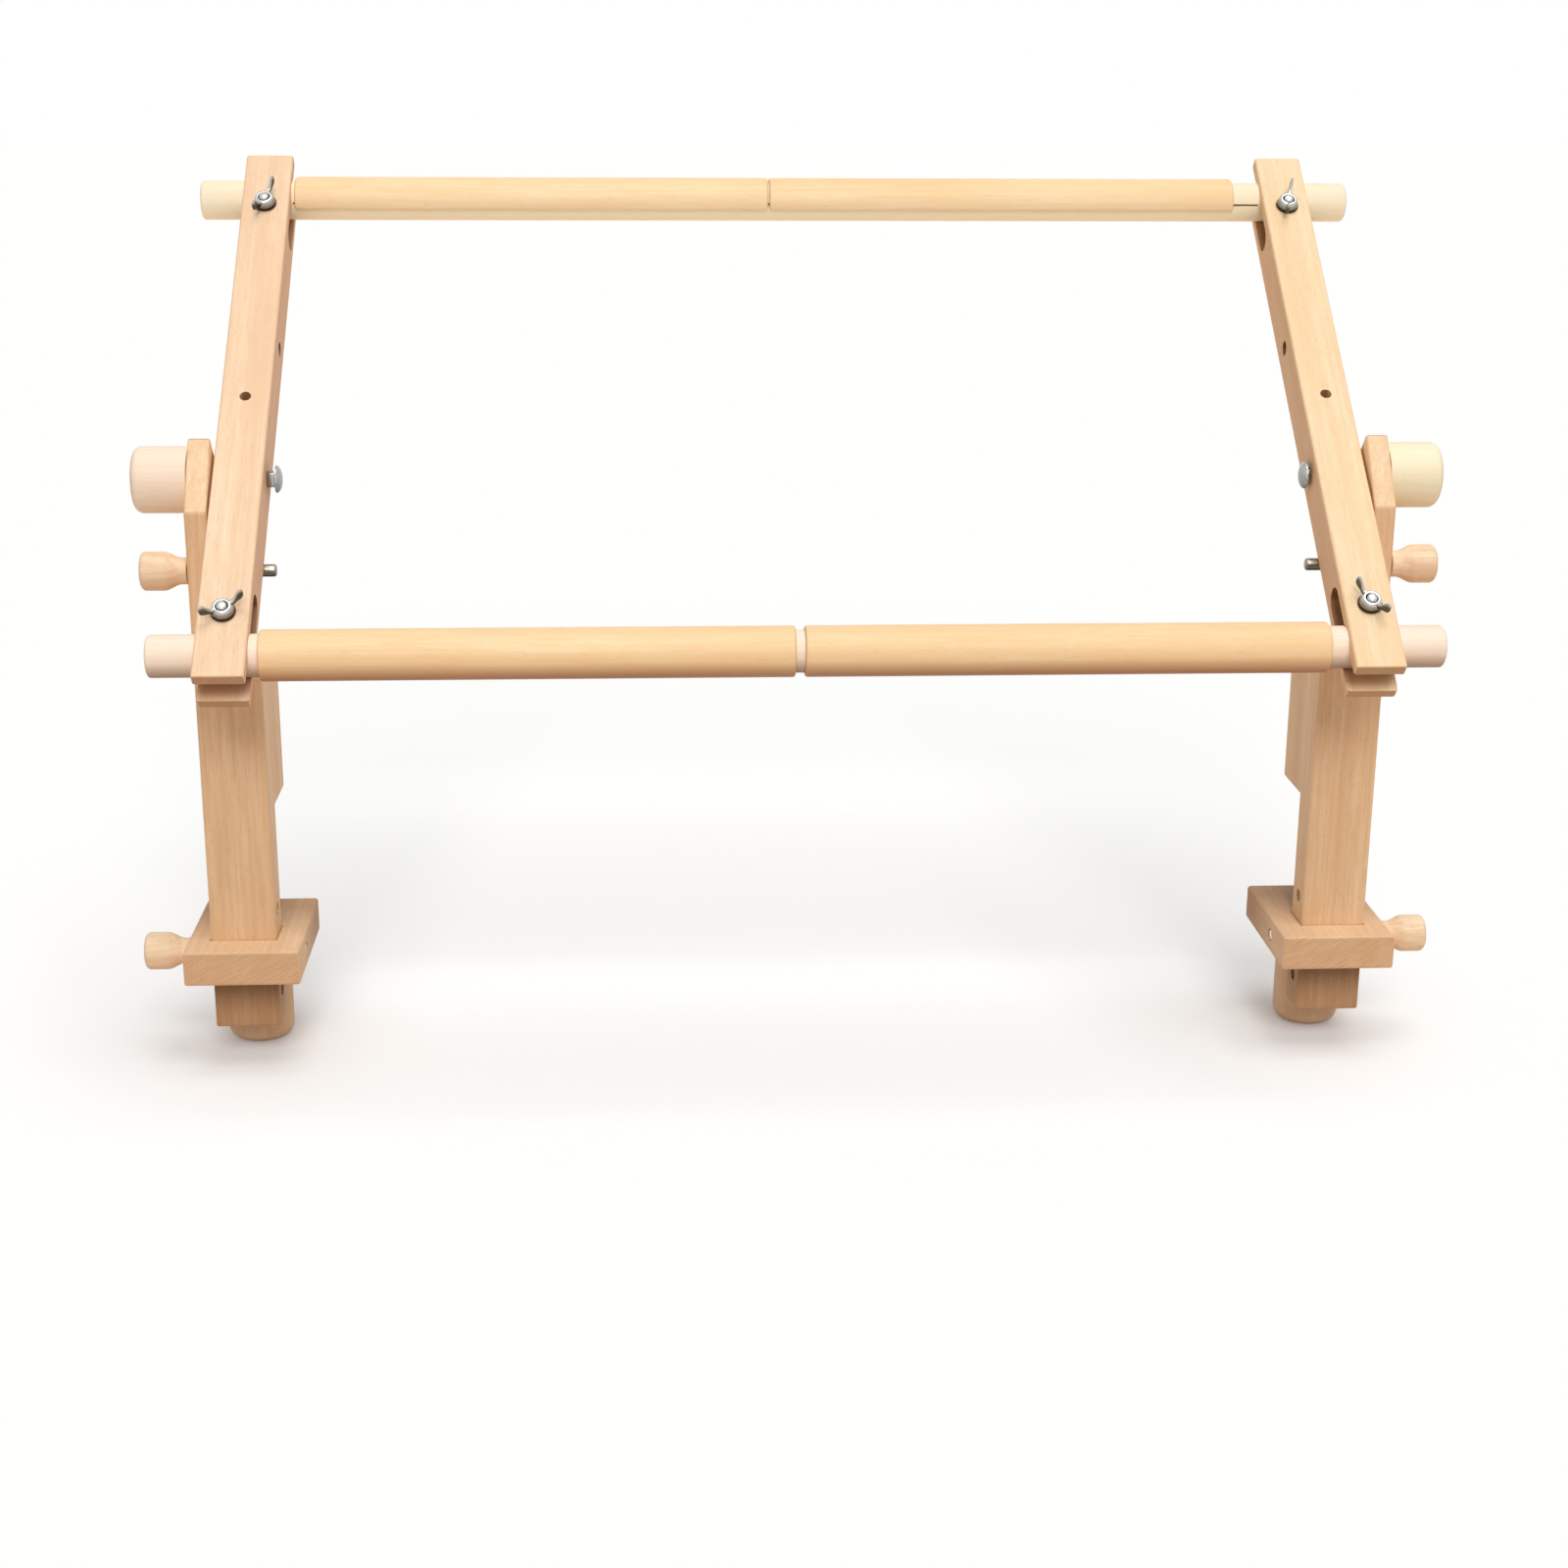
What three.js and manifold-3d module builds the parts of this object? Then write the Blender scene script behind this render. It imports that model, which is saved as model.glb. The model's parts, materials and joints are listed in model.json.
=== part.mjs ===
// Scroll frame for embroidery that clamps to the edge of a table.
// Two rollers run between two forked rails. Each rail pivots on a post, and each post
// grips the table between its deep head, above, and a jaw block with a screw, below.
//
// Millimetres. X runs along the rollers, Y away from the stitcher, Z up.
// The origin is on the table's top edge, half way between the two posts.

import * as THREE from "three";
import { mergeVertices } from "three/addons/utils/BufferGeometryUtils.js";
import Module from "manifold-3d";

const wasm = await Module();
wasm.setup();

// Fits shared by all pieces
const seatGap = 0.3;          // between a piece and what it sits on or in
const boreGap = 0.25;         // round a roller in its bore
const overrun = 4;            // how far a cut runs past the wood
const easedEdge = 0.8;        // sanded corner of the sawn wood

// Faces of round work
const roundSides = 24;
const smallSides = 14;
const arcSteps = 4;
const clipSteps = 16;
const lipSteps = 3;
const onAxis = 0.001;         // a smaller radius is the axis itself

// Rollers
const rodLength = 450;
const rodDiameter = 15;
const rodEndRadius = 1.8;
const slitWidth = 1.2;
const rodStub = 17;           // rod past the outside of a rail
const slitMargin = 0.6;       // plain rod between the slit's end and the rail
const frontSlitAngle = 253;   // degrees from +Y towards +Z, with the frame standing as it does
const backSlitAngle = 185;

// Clips that hold the cloth on the rollers
const clipFreeRun = 12.4;     // bare rod between the rails, beside and between a pair of clips
const clipWall = 1.2;
const clipOpening = 110;      // degrees left open
const clipEndTaper = 1.4;
const clipEndDrop = 0.35;
const frontClipGap = 3.2;
const frontClipShift = -1.4;
const backClipGap = 0.5;
const backClipShift = -4.7;
const frontOpeningAngle = 347;
const backOpeningAngle = 251;

// Rails
const railLength = 250;
const railWidth = 18;
const boreWall = 1.6;         // wood above and below a roller's bore
const rodInset = 15.5;        // roller axis from the rail's end
const slotHeight = 10;
const slotPastRod = 25;       // slot's inner end from the roller axis
const boltWeb = 1.5;          // wood between the bore and the bolt hole
const pivotOffset = 31.3;     // each cross hole from the rail's middle
const middleHoleDiameter = 4.2;
const restTilt = 40;          // degrees

// Bolt, washer and wing nut at each end of a rail
const clampBoltDiameter = 4;
const clampHeadDiameter = 9;
const clampHeadHeight = 2.2;
const clampBoltTip = 0.8;     // thread above the wing nut
const washerDiameter = 9.5;
const washerThickness = 0.6;
const nutBaseDiameter = 8.4;
const nutTopDiameter = 6.6;
const nutHeight = 3.6;
const wingSpan = 16.5;
const wingHeight = 7.4;
const wingThickness = 1.5;
const wingRoot = 2;         // height at which a wing leaves the hub
const nutTurns = { leftFront: 30, leftBack: 66, rightFront: 125, rightBack: 76 };

// Posts
const postWidth = 24;
const plateThickness = 8;
const plateGap = 0.8;         // between the plate and the rail
const shaftDepth = 15.5;
const headDepth = 40;
const pivotSetback = 22;      // tilt axis behind the post's front face
const shoulderHeight = 53;
const pivotHeight = 121;
const shaftDrop = 82;         // table top to the foot of the shaft
const plateFlankDrop = 8;     // pivot down to the start of the chamfer
const plateChamferRise = 21.5;
const plateChamferRun = 16;
const plateTopRise = 16;      // pivot up to the crown
const pinPitch = 16;
const pinCount = 3;

// Jaw blocks
const jawInnerWall = 9.9;     // wood beside the post, towards the other side
const jawOuterWall = 8.5;
const jawLength = 62;
const jawThickness = 13;
const jawNose = 13;           // wood in front of the post
const jawDrop = 54;           // table top to the block's middle
const jawRearRadius = 4;
const jawFrontRadius = 1.6;

// Tilt bolts and knobs
const tiltBoltDiameter = 5;
const tiltHeadDiameter = 10;
const tiltHeadHeight = 2.2;
const leftTiltNeck = 3.2;     // square neck between head and rail
const rightTiltNeck = 1.8;
const tiltNeckSide = 5.2;
const tiltKnobDiameter = 24;
const tiltKnobLength = 20;
const tiltKnobRadius = 3.2;
const tiltBoltDepth = 14;     // thread inside the knob
const insertWall = 1.6;

// Small knobs, on the stop pegs and on the lock bolts
const smallKnobDiameter = 14;
const smallKnobNeck = 10;
const smallKnobLength = 16.5;
const smallKnobHead = 8;
const smallKnobRadius = 2.6;
const smallPinDiameter = 4.5;
const smallPinDepth = 10;     // pin inside the knob
const pegReach = 5;           // peg tip past the rail's inner face
const pegSetback = 5;         // peg axis behind the plate's front face
const lockTipRecess = 0.8;

// Clamp screws
const screwDiameter = 6;
const screwRise = 16;         // thread above the block
const clampKnobDiameter = 25;
const clampKnobLength = 36;
const clampKnobRadius = 5;
const screwDepth = 22;        // thread inside the knob
const padDiameter = 14;
const padHeight = 4.5;
const padSocket = 2.5;        // how deep the screw's tip stands in the pad
const clampSetback = 15;      // screw axis behind the post

// Worked out from the sizes above
const degrees = Math.PI / 180;
const tilt = restTilt * degrees;
const rodRadius = rodDiameter / 2;
const railDepth = rodDiameter + 2 * (boreGap + boreWall);
const railSpacing = rodLength - 2 * (rodStub + railWidth);
const clipLength = (railSpacing - clipFreeRun) / 2;
const railX = railSpacing / 2 + railWidth / 2;
const railOuterX = railX + railWidth / 2;
const postInnerX = railOuterX + plateGap + plateThickness - postWidth;
const postX = postInnerX + postWidth / 2;
const plateOuterX = postInnerX + postWidth;
const pivotY = pivotSetback - shaftDepth;
const railPivot = railLength / 2 - pivotOffset;
const frontRodS = rodInset - railPivot;
const backRodS = railLength - rodInset - railPivot;
const boltInset = rodRadius + boreGap + boltWeb + clampBoltDiameter / 2 + seatGap;
const clipInnerRadius = rodRadius + seatGap;
const clipOuterRadius = clipInnerRadius + clipWall;
const pegY = pegSetback - shaftDepth;
const jawWidth = postWidth + jawInnerWall + jawOuterWall;
const jawShift = (jawOuterWall - jawInnerWall) / 2;
const jawY = jawLength / 2 - shaftDepth - jawNose;
const jawFloor = -jawDrop - jawThickness / 2;
const jawTop = -jawDrop + jawThickness / 2;

// Materials
function paint(color, roughness, metalness = 0) {
  return new THREE.MeshStandardMaterial({ color, roughness, metalness });
}

const railWood = paint(0xf4cda0, 0.62);
const rodWood = paint(0xfbe6c6, 0.6);
const clipWood = paint(0xf6cf98, 0.55);
const postWood = paint(0xd3a878, 0.65);
const jawWood = paint(0xd9b183, 0.66);
const knobWood = paint(0xf7e2c0, 0.6);
const zincSteel = paint(0xc9c9c6, 0.35, 1);
const brightSteel = paint(0xd8d8d6, 0.25, 1);

// Solids and booleans

function solid(geometry) {
  const bare = geometry.clone();
  bare.deleteAttribute("normal");
  bare.deleteAttribute("uv");
  const merged = mergeVertices(bare);
  return new wasm.Manifold(new wasm.Mesh({
    numProp: 3,
    vertProperties: Float32Array.from(merged.attributes.position.array),
    triVerts: Uint32Array.from(merged.index.array),
  }));
}

function geometryOf(manifold) {
  const mesh = manifold.getMesh();
  const geometry = new THREE.BufferGeometry();
  geometry.setAttribute("position", new THREE.BufferAttribute(mesh.vertProperties, 3));
  geometry.setIndex(new THREE.BufferAttribute(mesh.triVerts, 1));
  geometry.computeVertexNormals();
  return geometry;
}

function cut(body, tools) {
  return geometryOf(tools.reduce((left, tool) => left.subtract(solid(tool)), solid(body)));
}

function join(pieces) {
  return geometryOf(pieces.slice(1).reduce((whole, piece) => whole.add(solid(piece)), solid(pieces[0])));
}

// Forms

function bar(axis, radius, length, sides = roundSides) {
  const geometry = new THREE.CylinderGeometry(radius, radius, length, sides);
  if (axis === "x") geometry.rotateZ(-Math.PI / 2);
  if (axis === "z") geometry.rotateX(Math.PI / 2);
  return geometry;
}

// Turned work: points are [radius, distance along the axis], from one end to the other.
function turned(axis, points, sides = roundSides) {
  const profile = points.map(([radius, along]) => new THREE.Vector2(radius < onAxis ? 0 : radius, along));
  const geometry = new THREE.LatheGeometry(profile, sides);
  if (axis === "x") geometry.rotateZ(-Math.PI / 2);
  if (axis === "z") geometry.rotateX(Math.PI / 2);
  return geometry;
}

// Points of a quarter round from one corner side to the other, for a turned profile.
function quarterRound(centreRadius, centreAlong, radius, startAngle, endAngle) {
  return Array.from({ length: arcSteps + 1 }, (_, step) => {
    const angle = (startAngle + ((endAngle - startAngle) * step) / arcSteps) * degrees;
    return [centreRadius + radius * Math.cos(angle), centreAlong + radius * Math.sin(angle)];
  });
}

function roundedRectangle(width, height, frontRadius, rearRadius) {
  const shape = new THREE.Shape();
  const [right, top] = [width / 2, height / 2];
  shape.moveTo(-right + frontRadius, -top);
  shape.lineTo(right - frontRadius, -top);
  shape.absarc(right - frontRadius, -top + frontRadius, frontRadius, -Math.PI / 2, 0);
  shape.lineTo(right, top - rearRadius);
  shape.absarc(right - rearRadius, top - rearRadius, rearRadius, 0, Math.PI / 2);
  shape.lineTo(-right + rearRadius, top);
  shape.absarc(-right + rearRadius, top - rearRadius, rearRadius, Math.PI / 2, Math.PI);
  shape.lineTo(-right, -top + frontRadius);
  shape.absarc(-right + frontRadius, -top + frontRadius, frontRadius, Math.PI, Math.PI * 1.5);
  return shape;
}

// A board cut to an outline and centred on its thickness, with eased edges.
function board(outline, thickness, easing = 0, curveSegments = arcSteps) {
  const geometry = new THREE.ExtrudeGeometry(outline, {
    depth: thickness - 2 * easing,
    bevelEnabled: easing > 0,
    bevelThickness: easing,
    bevelSize: easing,
    bevelOffset: -easing,
    bevelSegments: 1,
    curveSegments,
  });
  return geometry.translate(0, 0, easing - thickness / 2);
}

// Turns a board drawn in (y, z) so that its thickness runs along X.
const acrossX = new THREE.Matrix4().makeBasis(
  new THREE.Vector3(0, 1, 0), new THREE.Vector3(0, 0, 1), new THREE.Vector3(1, 0, 0));

// Turns a board drawn in (x, z) so that its thickness runs along Y.
const acrossY = new THREE.Matrix4().makeBasis(
  new THREE.Vector3(1, 0, 0), new THREE.Vector3(0, 0, 1), new THREE.Vector3(0, -1, 0));

function mesh(name, geometry, material, [x, y, z] = [0, 0, 0]) {
  const piece = new THREE.Mesh(geometry, material);
  piece.name = name;
  piece.position.set(x, y, z);
  return piece;
}

// Rail, along Y with its top face up, its pivot at the origin

function forkSlot() {
  const length = rodInset + slotPastRod + overrun;
  const outline = new THREE.Shape();
  const half = slotHeight / 2;
  outline.moveTo(-overrun, -half);
  outline.lineTo(length - overrun - half, -half);
  outline.absarc(length - overrun - half, 0, half, -Math.PI / 2, Math.PI / 2);
  outline.lineTo(-overrun, half);
  return board(outline, railWidth + 2 * overrun).applyMatrix4(acrossX);
}

function rail() {
  const section = roundedRectangle(railWidth, railDepth, easedEdge * 1.5, easedEdge * 1.5);
  const body = board(section, railLength, easedEdge / 2, 3).applyMatrix4(acrossY);
  body.translate(0, railLength / 2 - railPivot, 0);
  const tools = [];
  const across = railWidth + 2 * overrun;
  const down = railDepth + 2 * overrun;
  for (const [end, inward] of [[-railPivot, 1], [railLength - railPivot, -1]]) {
    const slot = forkSlot();
    if (inward < 0) slot.rotateX(Math.PI);
    tools.push(slot.translate(0, end, 0));
    tools.push(bar("x", rodRadius + boreGap, across).translate(0, end + inward * rodInset, 0));
    tools.push(bar("z", clampBoltDiameter / 2 + seatGap, down, smallSides)
      .translate(0, end + inward * (rodInset + boltInset), 0));
  }
  for (const s of [0, 2 * pivotOffset]) {
    tools.push(bar("x", tiltBoltDiameter / 2 + seatGap, across, smallSides).translate(0, s, 0));
  }
  tools.push(bar("z", middleHoleDiameter / 2, down, smallSides).translate(0, pivotOffset, 0));
  return cut(body, tools);
}

// Rollers and clips, along X

function rod(slitAngle) {
  const half = rodLength / 2;
  const end = quarterRound(rodRadius - rodEndRadius, half - rodEndRadius, rodEndRadius, 0, 90);
  const start = end.map(([radius, along]) => [radius, -along]).reverse();
  const body = turned("x", [[0, -half], ...start, ...end, [0, half]]);
  const slit = new THREE.BoxGeometry(railSpacing - 2 * slitMargin, rodDiameter + 2 * overrun, slitWidth);
  return cut(body, [slit.rotateX(slitAngle * degrees - tilt)]);
}

function arcPoints(centre, radius, from, to, steps) {
  return Array.from({ length: steps + 1 }, (_, step) => {
    const angle = from + ((to - from) * step) / steps;
    return new THREE.Vector2(centre.x + radius * Math.cos(angle), centre.y + radius * Math.sin(angle));
  });
}

// Half round lip where the shell ends, from its outer face to its inner face or back.
function clipLip(angle, start) {
  const middle = clipInnerRadius + clipWall / 2;
  const centre = new THREE.Vector2(middle * Math.cos(angle), middle * Math.sin(angle));
  return arcPoints(centre, clipWall / 2, start, start + Math.PI, lipSteps).slice(1, -1);
}

function clip(openingAngle) {
  const centre = openingAngle * degrees - tilt;
  const half = (clipOpening / 2) * degrees;
  const [from, to] = [centre + half, centre - half + 2 * Math.PI];
  const origin = new THREE.Vector2();
  const outline = new THREE.Shape([
    ...arcPoints(origin, clipOuterRadius, from, to, clipSteps),
    ...clipLip(to, to),
    ...arcPoints(origin, clipInnerRadius, to, from, clipSteps),
    ...clipLip(from, from + Math.PI),
  ]);
  const geometry = new THREE.ExtrudeGeometry(outline, {
    depth: clipLength - 2 * clipEndTaper,
    bevelThickness: clipEndTaper,
    bevelSize: clipEndDrop,
    bevelOffset: -clipEndDrop,
    bevelSegments: 1,
  });
  return geometry.translate(0, 0, clipEndTaper - clipLength / 2).applyMatrix4(acrossX);
}

// Fasteners

function mushroomBolt(axis, diameter, length, headDiameter, headHeight) {
  const dome = quarterRound(0, 0, 1, 90, 0).map(([across, along]) =>
    [(across * headDiameter) / 2, -along * headHeight]);
  return turned(axis, [...dome, [diameter / 2, 0], [diameter / 2, length - diameter / 4],
    [diameter / 4, length], [0, length]], smallSides);
}

function washer() {
  const hole = bar("z", clampBoltDiameter / 2 + seatGap, washerThickness + 2 * overrun, smallSides);
  return cut(bar("z", washerDiameter / 2, washerThickness, smallSides), [hole]);
}

function wingNut() {
  const hub = turned("z", [[0, 0], [nutBaseDiameter / 2, 0], [nutBaseDiameter / 2, nutHeight / 5],
    [nutTopDiameter / 2, nutHeight], [0, nutHeight]], smallSides);
  const wings = [1, -1].map((side) => {
    const reach = wingSpan / 2;
    const lobe = (wingHeight - wingRoot) / 2;
    const outline = new THREE.Shape();
    outline.moveTo(nutTopDiameter / 4, wingRoot - lobe / 2);
    outline.lineTo(nutBaseDiameter / 2, wingRoot - lobe / 2);
    outline.quadraticCurveTo(reach - lobe / 2, wingRoot, reach, wingHeight - lobe);
    outline.absarc(reach - lobe, wingHeight - lobe, lobe, 0, Math.PI * 0.75);
    outline.quadraticCurveTo(reach - 2 * lobe, nutHeight, nutTopDiameter / 4, nutHeight - lobe / 2);
    const wing = board(outline, wingThickness, wingThickness / 4).applyMatrix4(acrossY);
    return side > 0 ? wing : wing.rotateZ(Math.PI);
  });
  const hole = bar("z", clampBoltDiameter / 2 + seatGap, wingHeight + 2 * overrun, smallSides);
  return cut(join([hub, ...wings]), [hole]);
}

// Post, with the side's sign telling which way is outward

function postOutline() {
  const [front, rear] = [-shaftDepth, headDepth - shaftDepth];
  const middle = (front + rear) / 2;
  const flank = pivotHeight - plateFlankDrop;
  const chamferTop = flank + plateChamferRise;
  const outline = new THREE.Shape();
  outline.moveTo(front, -shaftDrop);
  outline.lineTo(0, -shaftDrop);
  outline.lineTo(0, 0);
  outline.lineTo(rear, 0);
  outline.lineTo(rear, flank);
  outline.lineTo(rear - plateChamferRun, chamferTop);
  const crown = 2 * (pivotHeight + plateTopRise) - chamferTop;
  outline.quadraticCurveTo(middle, crown, front + plateChamferRun, chamferTop);
  outline.lineTo(front, flank);
  return outline;
}

function post(side) {
  const body = board(postOutline(), postWidth, easedEdge).applyMatrix4(acrossX);
  const notchHeight = pivotHeight + plateTopRise + overrun - shoulderHeight;
  const notchWidth = postWidth - plateThickness + overrun;
  const notch = new THREE.BoxGeometry(notchWidth, headDepth + 2 * overrun, notchHeight);
  notch.translate(-side * (plateThickness + overrun) / 2, pivotY, shoulderHeight + notchHeight / 2);
  const across = postWidth + 2 * overrun;
  const pinY = -shaftDepth / 2;
  const tools = [
    notch,
    bar("x", tiltBoltDiameter / 2 + seatGap, across, smallSides).translate(0, pivotY, pivotHeight),
    bar("x", smallPinDiameter / 2 + seatGap, across, smallSides).translate(0, pegY, pegZ()),
  ];
  for (let pin = 0; pin < pinCount; pin += 1) {
    const z = -jawDrop + (pin - (pinCount - 1) / 2) * pinPitch;
    tools.push(bar("x", smallPinDiameter / 2 + seatGap, across, smallSides).translate(0, pinY, z));
  }
  return cut(body, tools);
}

// Height at which the stop peg just clears the underside of the tilted rail.
function pegZ() {
  const below = railDepth / 2 + smallPinDiameter / 2 + seatGap;
  const ahead = pivotY - pegY + below * Math.sin(tilt);
  return pivotHeight - ahead * Math.tan(tilt) - below * Math.cos(tilt);
}

// Jaw block and what it carries

function jawBlock(side) {
  const outline = roundedRectangle(jawWidth, jawLength, jawFrontRadius, jawRearRadius);
  const body = board(outline, jawThickness, easedEdge).translate(side * jawShift, jawY, 0);
  const through = jawThickness + 2 * overrun;
  const mortise = new THREE.BoxGeometry(postWidth + 2 * seatGap, shaftDepth + 2 * seatGap, through);
  const pinY = -shaftDepth / 2;
  return cut(body, [
    mortise.translate(0, pinY, 0),
    bar("x", smallPinDiameter / 2 + seatGap, jawWidth + 2 * overrun, smallSides).translate(0, pinY, 0),
    bar("x", lockInsertRadius() + seatGap, jawInnerWall, smallSides)
      .translate(-side * (postWidth / 2 + seatGap), pinY, 0),
    bar("z", clampInsertRadius() + seatGap, through, smallSides).translate(0, clampSetback, 0),
  ]);
}

function lockInsertRadius() {
  return smallPinDiameter / 2 + seatGap + insertWall;
}

function clampInsertRadius() {
  return screwDiameter / 2 + seatGap + insertWall;
}

function sleeve(axis, outerRadius, innerRadius, length) {
  const bore = bar(axis, innerRadius, length + 2 * overrun, smallSides);
  return cut(bar(axis, outerRadius, length, smallSides), [bore]);
}

// Knobs, drawn with the seat at zero and the free end towards +axis

function barrelKnob(axis, diameter, length, edgeRadius, holeRadius, holeDepth) {
  const end = quarterRound(diameter / 2 - edgeRadius, length - edgeRadius, edgeRadius, 0, 90);
  const body = turned(axis, [[0, 0], [diameter / 2 - easedEdge, 0], [diameter / 2, easedEdge], ...end,
    [0, length]]);
  return cut(body, [bar(axis, holeRadius, 2 * holeDepth, smallSides)]);
}

function smallKnob() {
  const [neck, head] = [smallKnobNeck / 2, smallKnobDiameter / 2];
  const shoulder = smallKnobLength - smallKnobHead;
  const flare = Array.from({ length: arcSteps + 1 }, (_, step) => {
    const share = step / arcSteps;
    const swell = (1 - Math.cos(Math.PI * share)) / 2;
    return [neck + (head - neck) * swell, (shoulder * (1 + 2 * share)) / 3];
  });
  const end = quarterRound(head - smallKnobRadius, smallKnobLength - smallKnobRadius, smallKnobRadius, 0, 90);
  const body = turned("x", [[0, 0], [neck, 0], ...flare, ...end, [0, smallKnobLength]]);
  return cut(body, [bar("x", smallPinDiameter / 2 + seatGap, 2 * smallPinDepth, smallSides)]);
}

function smallPin(length) {
  const radius = smallPinDiameter / 2;
  return turned("x", [[0, 0], [radius / 2, 0], [radius, radius / 2], [radius, length],
    [0, length]], smallSides);
}

function clampPad() {
  const disc = turned("z", [[0, 0], [padDiameter / 2 - easedEdge, 0], [padDiameter / 2, easedEdge],
    [padDiameter / 2, padHeight], [0, padHeight]], smallSides);
  const socket = bar("z", screwDiameter / 2 + seatGap, 2 * padSocket, smallSides);
  return cut(disc, [socket]);
}

// Assembly

const frame = new THREE.Group();
const tilted = new THREE.Group();
tilted.position.set(0, pivotY, pivotHeight);
tilted.rotation.x = tilt;
frame.add(tilted);

function addRail(side, label) {
  const x = side * railX;
  tilted.add(mesh(`${label}_rail`, rail(), railWood, [x, 0, 0]));
  const grip = railDepth + washerThickness + nutHeight + clampBoltTip + 2 * seatGap;
  for (const [end, s] of [["front", frontRodS + boltInset], ["back", backRodS - boltInset]]) {
    const bolt = mushroomBolt("z", clampBoltDiameter, grip + seatGap, clampHeadDiameter, clampHeadHeight);
    const washerZ = railDepth / 2 + seatGap / 2 + washerThickness / 2;
    const nut = mesh(`${label}_${end}_wing_nut`, wingNut(), zincSteel,
      [x, s, railDepth / 2 + washerThickness + seatGap]);
    nut.rotation.z = nutTurns[label + end[0].toUpperCase() + end.slice(1)] * degrees;
    tilted.add(mesh(`${label}_${end}_clamp_bolt`, bolt, zincSteel, [x, s, -railDepth / 2 - seatGap]));
    tilted.add(mesh(`${label}_${end}_washer`, washer(), brightSteel, [x, s, washerZ]));
    tilted.add(nut);
  }
}

function addTiltClamp(side, label, neckLength) {
  const start = railX - railWidth / 2 - neckLength;
  const reach = plateOuterX + seatGap + tiltBoltDepth - start;
  const bolt = mushroomBolt("x", tiltBoltDiameter, reach, tiltHeadDiameter, tiltHeadHeight);
  const neck = new THREE.BoxGeometry(neckLength - seatGap, tiltNeckSide, tiltNeckSide);
  neck.translate((neckLength - seatGap) / 2, 0, 0);
  const piece = mesh(`${label}_tilt_bolt`, join([bolt, neck]), zincSteel, [side * start, 0, 0]);
  piece.rotation.z = side > 0 ? 0 : Math.PI;
  tilted.add(piece);

  const insertRadius = tiltBoltDiameter / 2 + seatGap + insertWall;
  const knob = barrelKnob("x", tiltKnobDiameter, tiltKnobLength, tiltKnobRadius,
    insertRadius + seatGap, tiltBoltDepth + seatGap);
  const place = [side * (plateOuterX + seatGap), pivotY, pivotHeight];
  const turn = side > 0 ? 0 : Math.PI;
  const knobMesh = mesh(`${label}_tilt_knob`, knob, knobWood, place);
  const insert = sleeve("x", insertRadius, tiltBoltDiameter / 2 + seatGap, tiltBoltDepth - seatGap);
  insert.translate((tiltBoltDepth - seatGap) / 2 + seatGap, 0, 0);
  const insertMesh = mesh(`${label}_tilt_knob_insert`, insert, brightSteel, place);
  for (const part of [knobMesh, insertMesh]) {
    part.rotation.z = turn;
    frame.add(part);
  }
}

function addStopPeg(side, label) {
  const tip = railX - railWidth / 2 - pegReach;
  const seat = plateOuterX + seatGap;
  const length = seat + smallPinDepth - seatGap - tip;
  const pin = mesh(`${label}_stop_peg`, smallPin(length), brightSteel, [side * tip, pegY, pegZ()]);
  const knob = mesh(`${label}_stop_knob`, smallKnob(), knobWood, [side * seat, pegY, pegZ()]);
  for (const part of [pin, knob]) {
    part.rotation.z = side > 0 ? 0 : Math.PI;
    frame.add(part);
  }
}

function addJaw(side, label) {
  const pinY = -shaftDepth / 2;
  frame.add(mesh(`${label}_jaw_block`, jawBlock(side), jawWood, [side * postX, 0, -jawDrop]));

  const insertLength = jawInnerWall / 2 - 2 * seatGap;
  const insert = sleeve("x", lockInsertRadius(), smallPinDiameter / 2 + seatGap, insertLength);
  const insertX = postInnerX - seatGap - jawInnerWall / 4;
  frame.add(mesh(`${label}_lock_insert`, insert, brightSteel, [side * insertX, pinY, -jawDrop]));

  const tip = postInnerX - jawInnerWall + lockTipRecess;
  const seat = plateOuterX + jawOuterWall + seatGap;
  const pin = mesh(`${label}_lock_bolt`, smallPin(seat + smallPinDepth - seatGap - tip), brightSteel,
    [side * tip, pinY, -jawDrop]);
  const knob = mesh(`${label}_lock_knob`, smallKnob(), knobWood, [side * seat, pinY, -jawDrop]);
  for (const part of [pin, knob]) {
    part.rotation.z = side > 0 ? 0 : Math.PI;
    frame.add(part);
  }
}

function addClampScrew(side, label) {
  const x = side * postX;
  const collar = sleeve("z", clampInsertRadius(), screwDiameter / 2 + seatGap, jawThickness - 2 * seatGap);
  frame.add(mesh(`${label}_clamp_insert`, collar, brightSteel, [x, clampSetback, -jawDrop]));

  const knobTop = jawFloor - seatGap;
  const length = screwDepth + jawThickness + screwRise;
  const half = screwDiameter / 2;
  const thread = turned("z", [[0, 0], [half, 0], [half, length - half / 2], [half / 2, length],
    [0, length]], smallSides);
  const foot = knobTop - screwDepth + seatGap;
  frame.add(mesh(`${label}_clamp_screw`, thread, zincSteel, [x, clampSetback, foot]));

  const knob = barrelKnob("z", clampKnobDiameter, clampKnobLength, clampKnobRadius,
    half + seatGap, screwDepth);
  const knobMesh = mesh(`${label}_clamp_knob`, knob, knobWood, [x, clampSetback, knobTop]);
  knobMesh.rotation.x = Math.PI;
  frame.add(knobMesh);

  const tipZ = foot + length;
  frame.add(mesh(`${label}_clamp_pad`, clampPad(), zincSteel, [x, clampSetback, tipZ + seatGap - padSocket]));
}

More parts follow.
